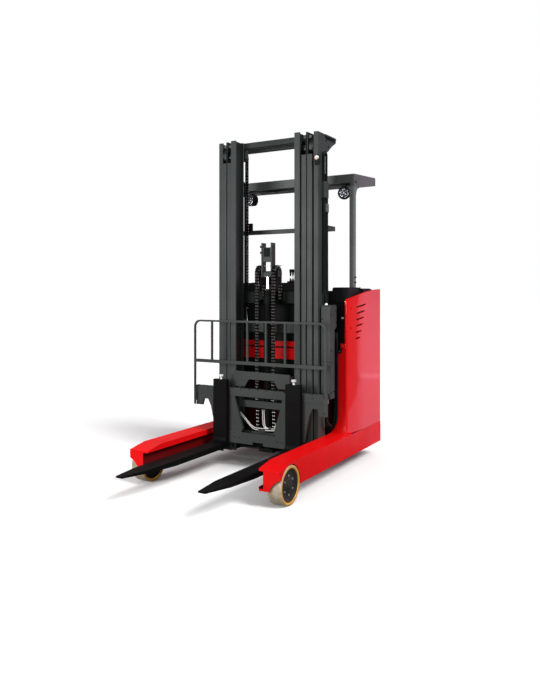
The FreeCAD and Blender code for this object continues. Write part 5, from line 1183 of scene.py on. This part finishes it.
def leanPad():
    low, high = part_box("lean_pad")
    centre = (low + high) / 2
    bm = bmesh.new()
    bm.from_mesh(frame["nodes"]["lean_pad"].data)
    bmesh.ops.remove_doubles(bm, verts=bm.verts, dist=1e-5)
    shrink, cap = padLook["shrink"], padLook["cap"]
    for vertex in bm.verts:
        for i in range(3):
            half = (high[i] - low[i]) / 2
            vertex.co[i] = centre[i] + (vertex.co[i] - centre[i]) * (half - shrink) / half
    pad = collect("lean_pad_shown", bm)
    remesh = pad.modifiers.new("remesh", "REMESH")
    remesh.mode = "VOXEL"
    remesh.voxel_size = padLook["voxel"]
    pad = asMesh(pad, "lean_pad_shown")
    start = [v.co.copy() for v in pad.data.vertices]
    held = pad.vertex_groups.new(name="held")
    held.add([i for i, p in enumerate(start) if p.x < low.x + shrink + 0.012], 1.0, "REPLACE")
    cloth = pad.modifiers.new("cloth", "CLOTH")
    cloth.settings.use_pressure = True
    cloth.settings.uniform_pressure_force = padLook["pressure"]
    cloth.settings.vertex_group_mass = "held"
    cloth.settings.effector_weights.gravity = 0.0
    cloth.point_cache.frame_end = padLook["steps"]
    for step in range(1, padLook["steps"] + 1):
        scene.frame_set(step)
    pad = asMesh(pad, "lean_pad_shown")
    scene.frame_set(1)
    for vertex, begin in zip(pad.data.vertices, start):
        move = vertex.co - begin
        if move.length > cap:
            move *= cap / move.length
        place = begin + move
        # sewn channels across the front
        depth = max(0.0, min(1.0, (place.x - centre.x) / 0.02))
        for height in padLook["seamHeights"]:
            place.x -= depth * padLook["seam"] * math.exp(-((place.z - low.z - height) / 0.006) ** 2)
        vertex.co = place
    smooth = pad.modifiers.new("smooth", "SUBSURF")
    smooth.levels = smooth.render_levels = 1
    pad = finish(asMesh(pad, "lean_pad_shown"), "padVinyl", "chassis", stands="lean_pad")
    # piping round the front edge
    x, inset, corner = high.x - 0.010, 0.010, 0.030
    y0, y1, z0, z1 = (low.y + inset + corner, high.y - inset - corner, low.z + inset + corner,
                      high.z - inset - corner)
    edge = []
    for y, z, begin in ((y1, z1, 0), (y0, z1, 90), (y0, z0, 180), (y1, z0, 270)):
        for i in range(7):
            t = math.radians(begin + 15 * i)
            edge.append((x, y + corner * math.cos(t), z + corner * math.sin(t)))
    pipe("lean_pad_piping", "padVinyl", "chassis", edge + [edge[0]], padLook["piping"])


leanPad()
print("lean pad made")


# floor, light and camera
def buildStage():
    # bright to the eye, but gives back less light than it shows
    tree, shader = blank("paleFloor")
    tone = blendColors(tree, remap(tree, noise(tree, objectPoint(tree), 0.8), 0.3, 0.7), grey(0.88), grey(0.91))
    path = addNode(tree, "ShaderNodeLightPath", {})
    fill(tree, shader, {"Base Color": blendColors(tree, path["Is Camera Ray"], grey(0.18), tone), "Roughness": 0.9,
                        "Specular IOR Level": 0.0})
    bm = bmesh.new()
    bmesh.ops.create_grid(bm, x_segments=1, y_segments=1, size=60)
    floor = collect("stageFloor", bm, smooth=False)
    floor.data.materials.append(bpy.data.materials["paleFloor"])


def buildSky(sky):
    # white behind the truck, a soft dome above it for everything else
    world = bpy.data.worlds.new("studio")
    world.use_nodes = True
    tree = world.node_tree
    place = addNode(tree, "ShaderNodeTexCoord", {})
    rise = combine(tree, "MAXIMUM", splitPoint(tree, place["Generated"])["Z"])
    level = remap(tree, combine(tree, "POWER", rise, 1.0), 0.0, 1.0, sky["horizon"], sky["zenith"])
    straight = addNode(tree, "ShaderNodeLightPath", {})["Is Camera Ray"]
    shown = product(tree, straight, sky["behind"])
    other = product(tree, combine(tree, "SUBTRACT", 1.0, straight), level)
    fill(tree, tree.nodes["Background"], {"Color": (1.0, 1.0, 1.0, 1.0),
                                          "Strength": combine(tree, "ADD", shown, other)})
    scene.world = world


def addLight(name, kind, look, **settings):
    data = bpy.data.lights.new(name, kind)
    data.energy = look["power"]
    for setting, value in settings.items():
        setattr(data, setting, value)
    return addObject(name, data)


def areaLight(name, look):
    width, depth = look["size"]
    lamp = addLight(name, "AREA", look, shape="RECTANGLE", size=width, size_y=depth,
                    color=look.get("color", (1, 1, 1)))
    lamp.location = look["place"]
    if "aim" in look:
        away = Vector(look["aim"]) - Vector(look["place"])
        lamp.rotation_euler = away.to_track_quat("-Z", "Y").to_euler()
    else:
        lamp.rotation_euler = (math.pi, 0, math.radians(look["turn"]))
    lamp.visible_camera = False


studio = {
    "sky": {"horizon": 0.12, "zenith": 0.66, "behind": 1.0},
    "sun": {"towards": (0.75, -0.12, 0.78), "softness": 24.0, "power": 3.1},
    "key": {"place": (-2.2, -6.2, 2.0), "aim": (0, 0, 1.1), "size": (2.4, 2.4), "power": 340},
    "front": {"place": (2.4, -6.4, 1.7), "aim": (0.3, 0, 0.9), "size": (2.0, 2.0), "power": 110},
    "side": {"place": (1.9, 5.6, 1.0), "aim": (0.6, 0.6, 0.9), "size": (3.0, 5.0), "power": 40,
             "color": (1.0, 0.66, 0.92)},
    # lies on the floor behind the truck, to carry the side panel's sheen down to the leg
    "low": {"place": (1.53, 3.55, 0.02), "turn": -18.0, "size": (2.0, 5.0), "power": 21,
            "color": (1.0, 0.66, 0.92)},
}
buildStage()
buildSky(studio["sky"])
sun = addLight("sunLight", "SUN", studio["sun"], angle=math.radians(studio["sun"]["softness"]))
sun.rotation_euler = Vector(studio["sun"]["towards"]).to_track_quat("Z", "Y").to_euler()
for name in ("key", "front", "side", "low"):
    areaLight(name + "Light", studio[name])

view = {"place": (2.58, -4.20, 1.34), "turn": 30.0, "lens": 36.0, "sensor": 36.0, "shiftY": -0.07}
cameraData = bpy.data.cameras.new("camera")
cameraData.sensor_width = view["sensor"]
cameraData.lens = view["lens"]
cameraData.shift_y = view["shiftY"]
camera = addObject("camera", cameraData)
camera.location = view["place"]
camera.rotation_euler = (math.radians(90), 0, math.radians(view["turn"]))
scene.camera = camera
scene.view_settings.view_transform = "Standard"

for part in templates:
    bpy.data.objects.remove(part)
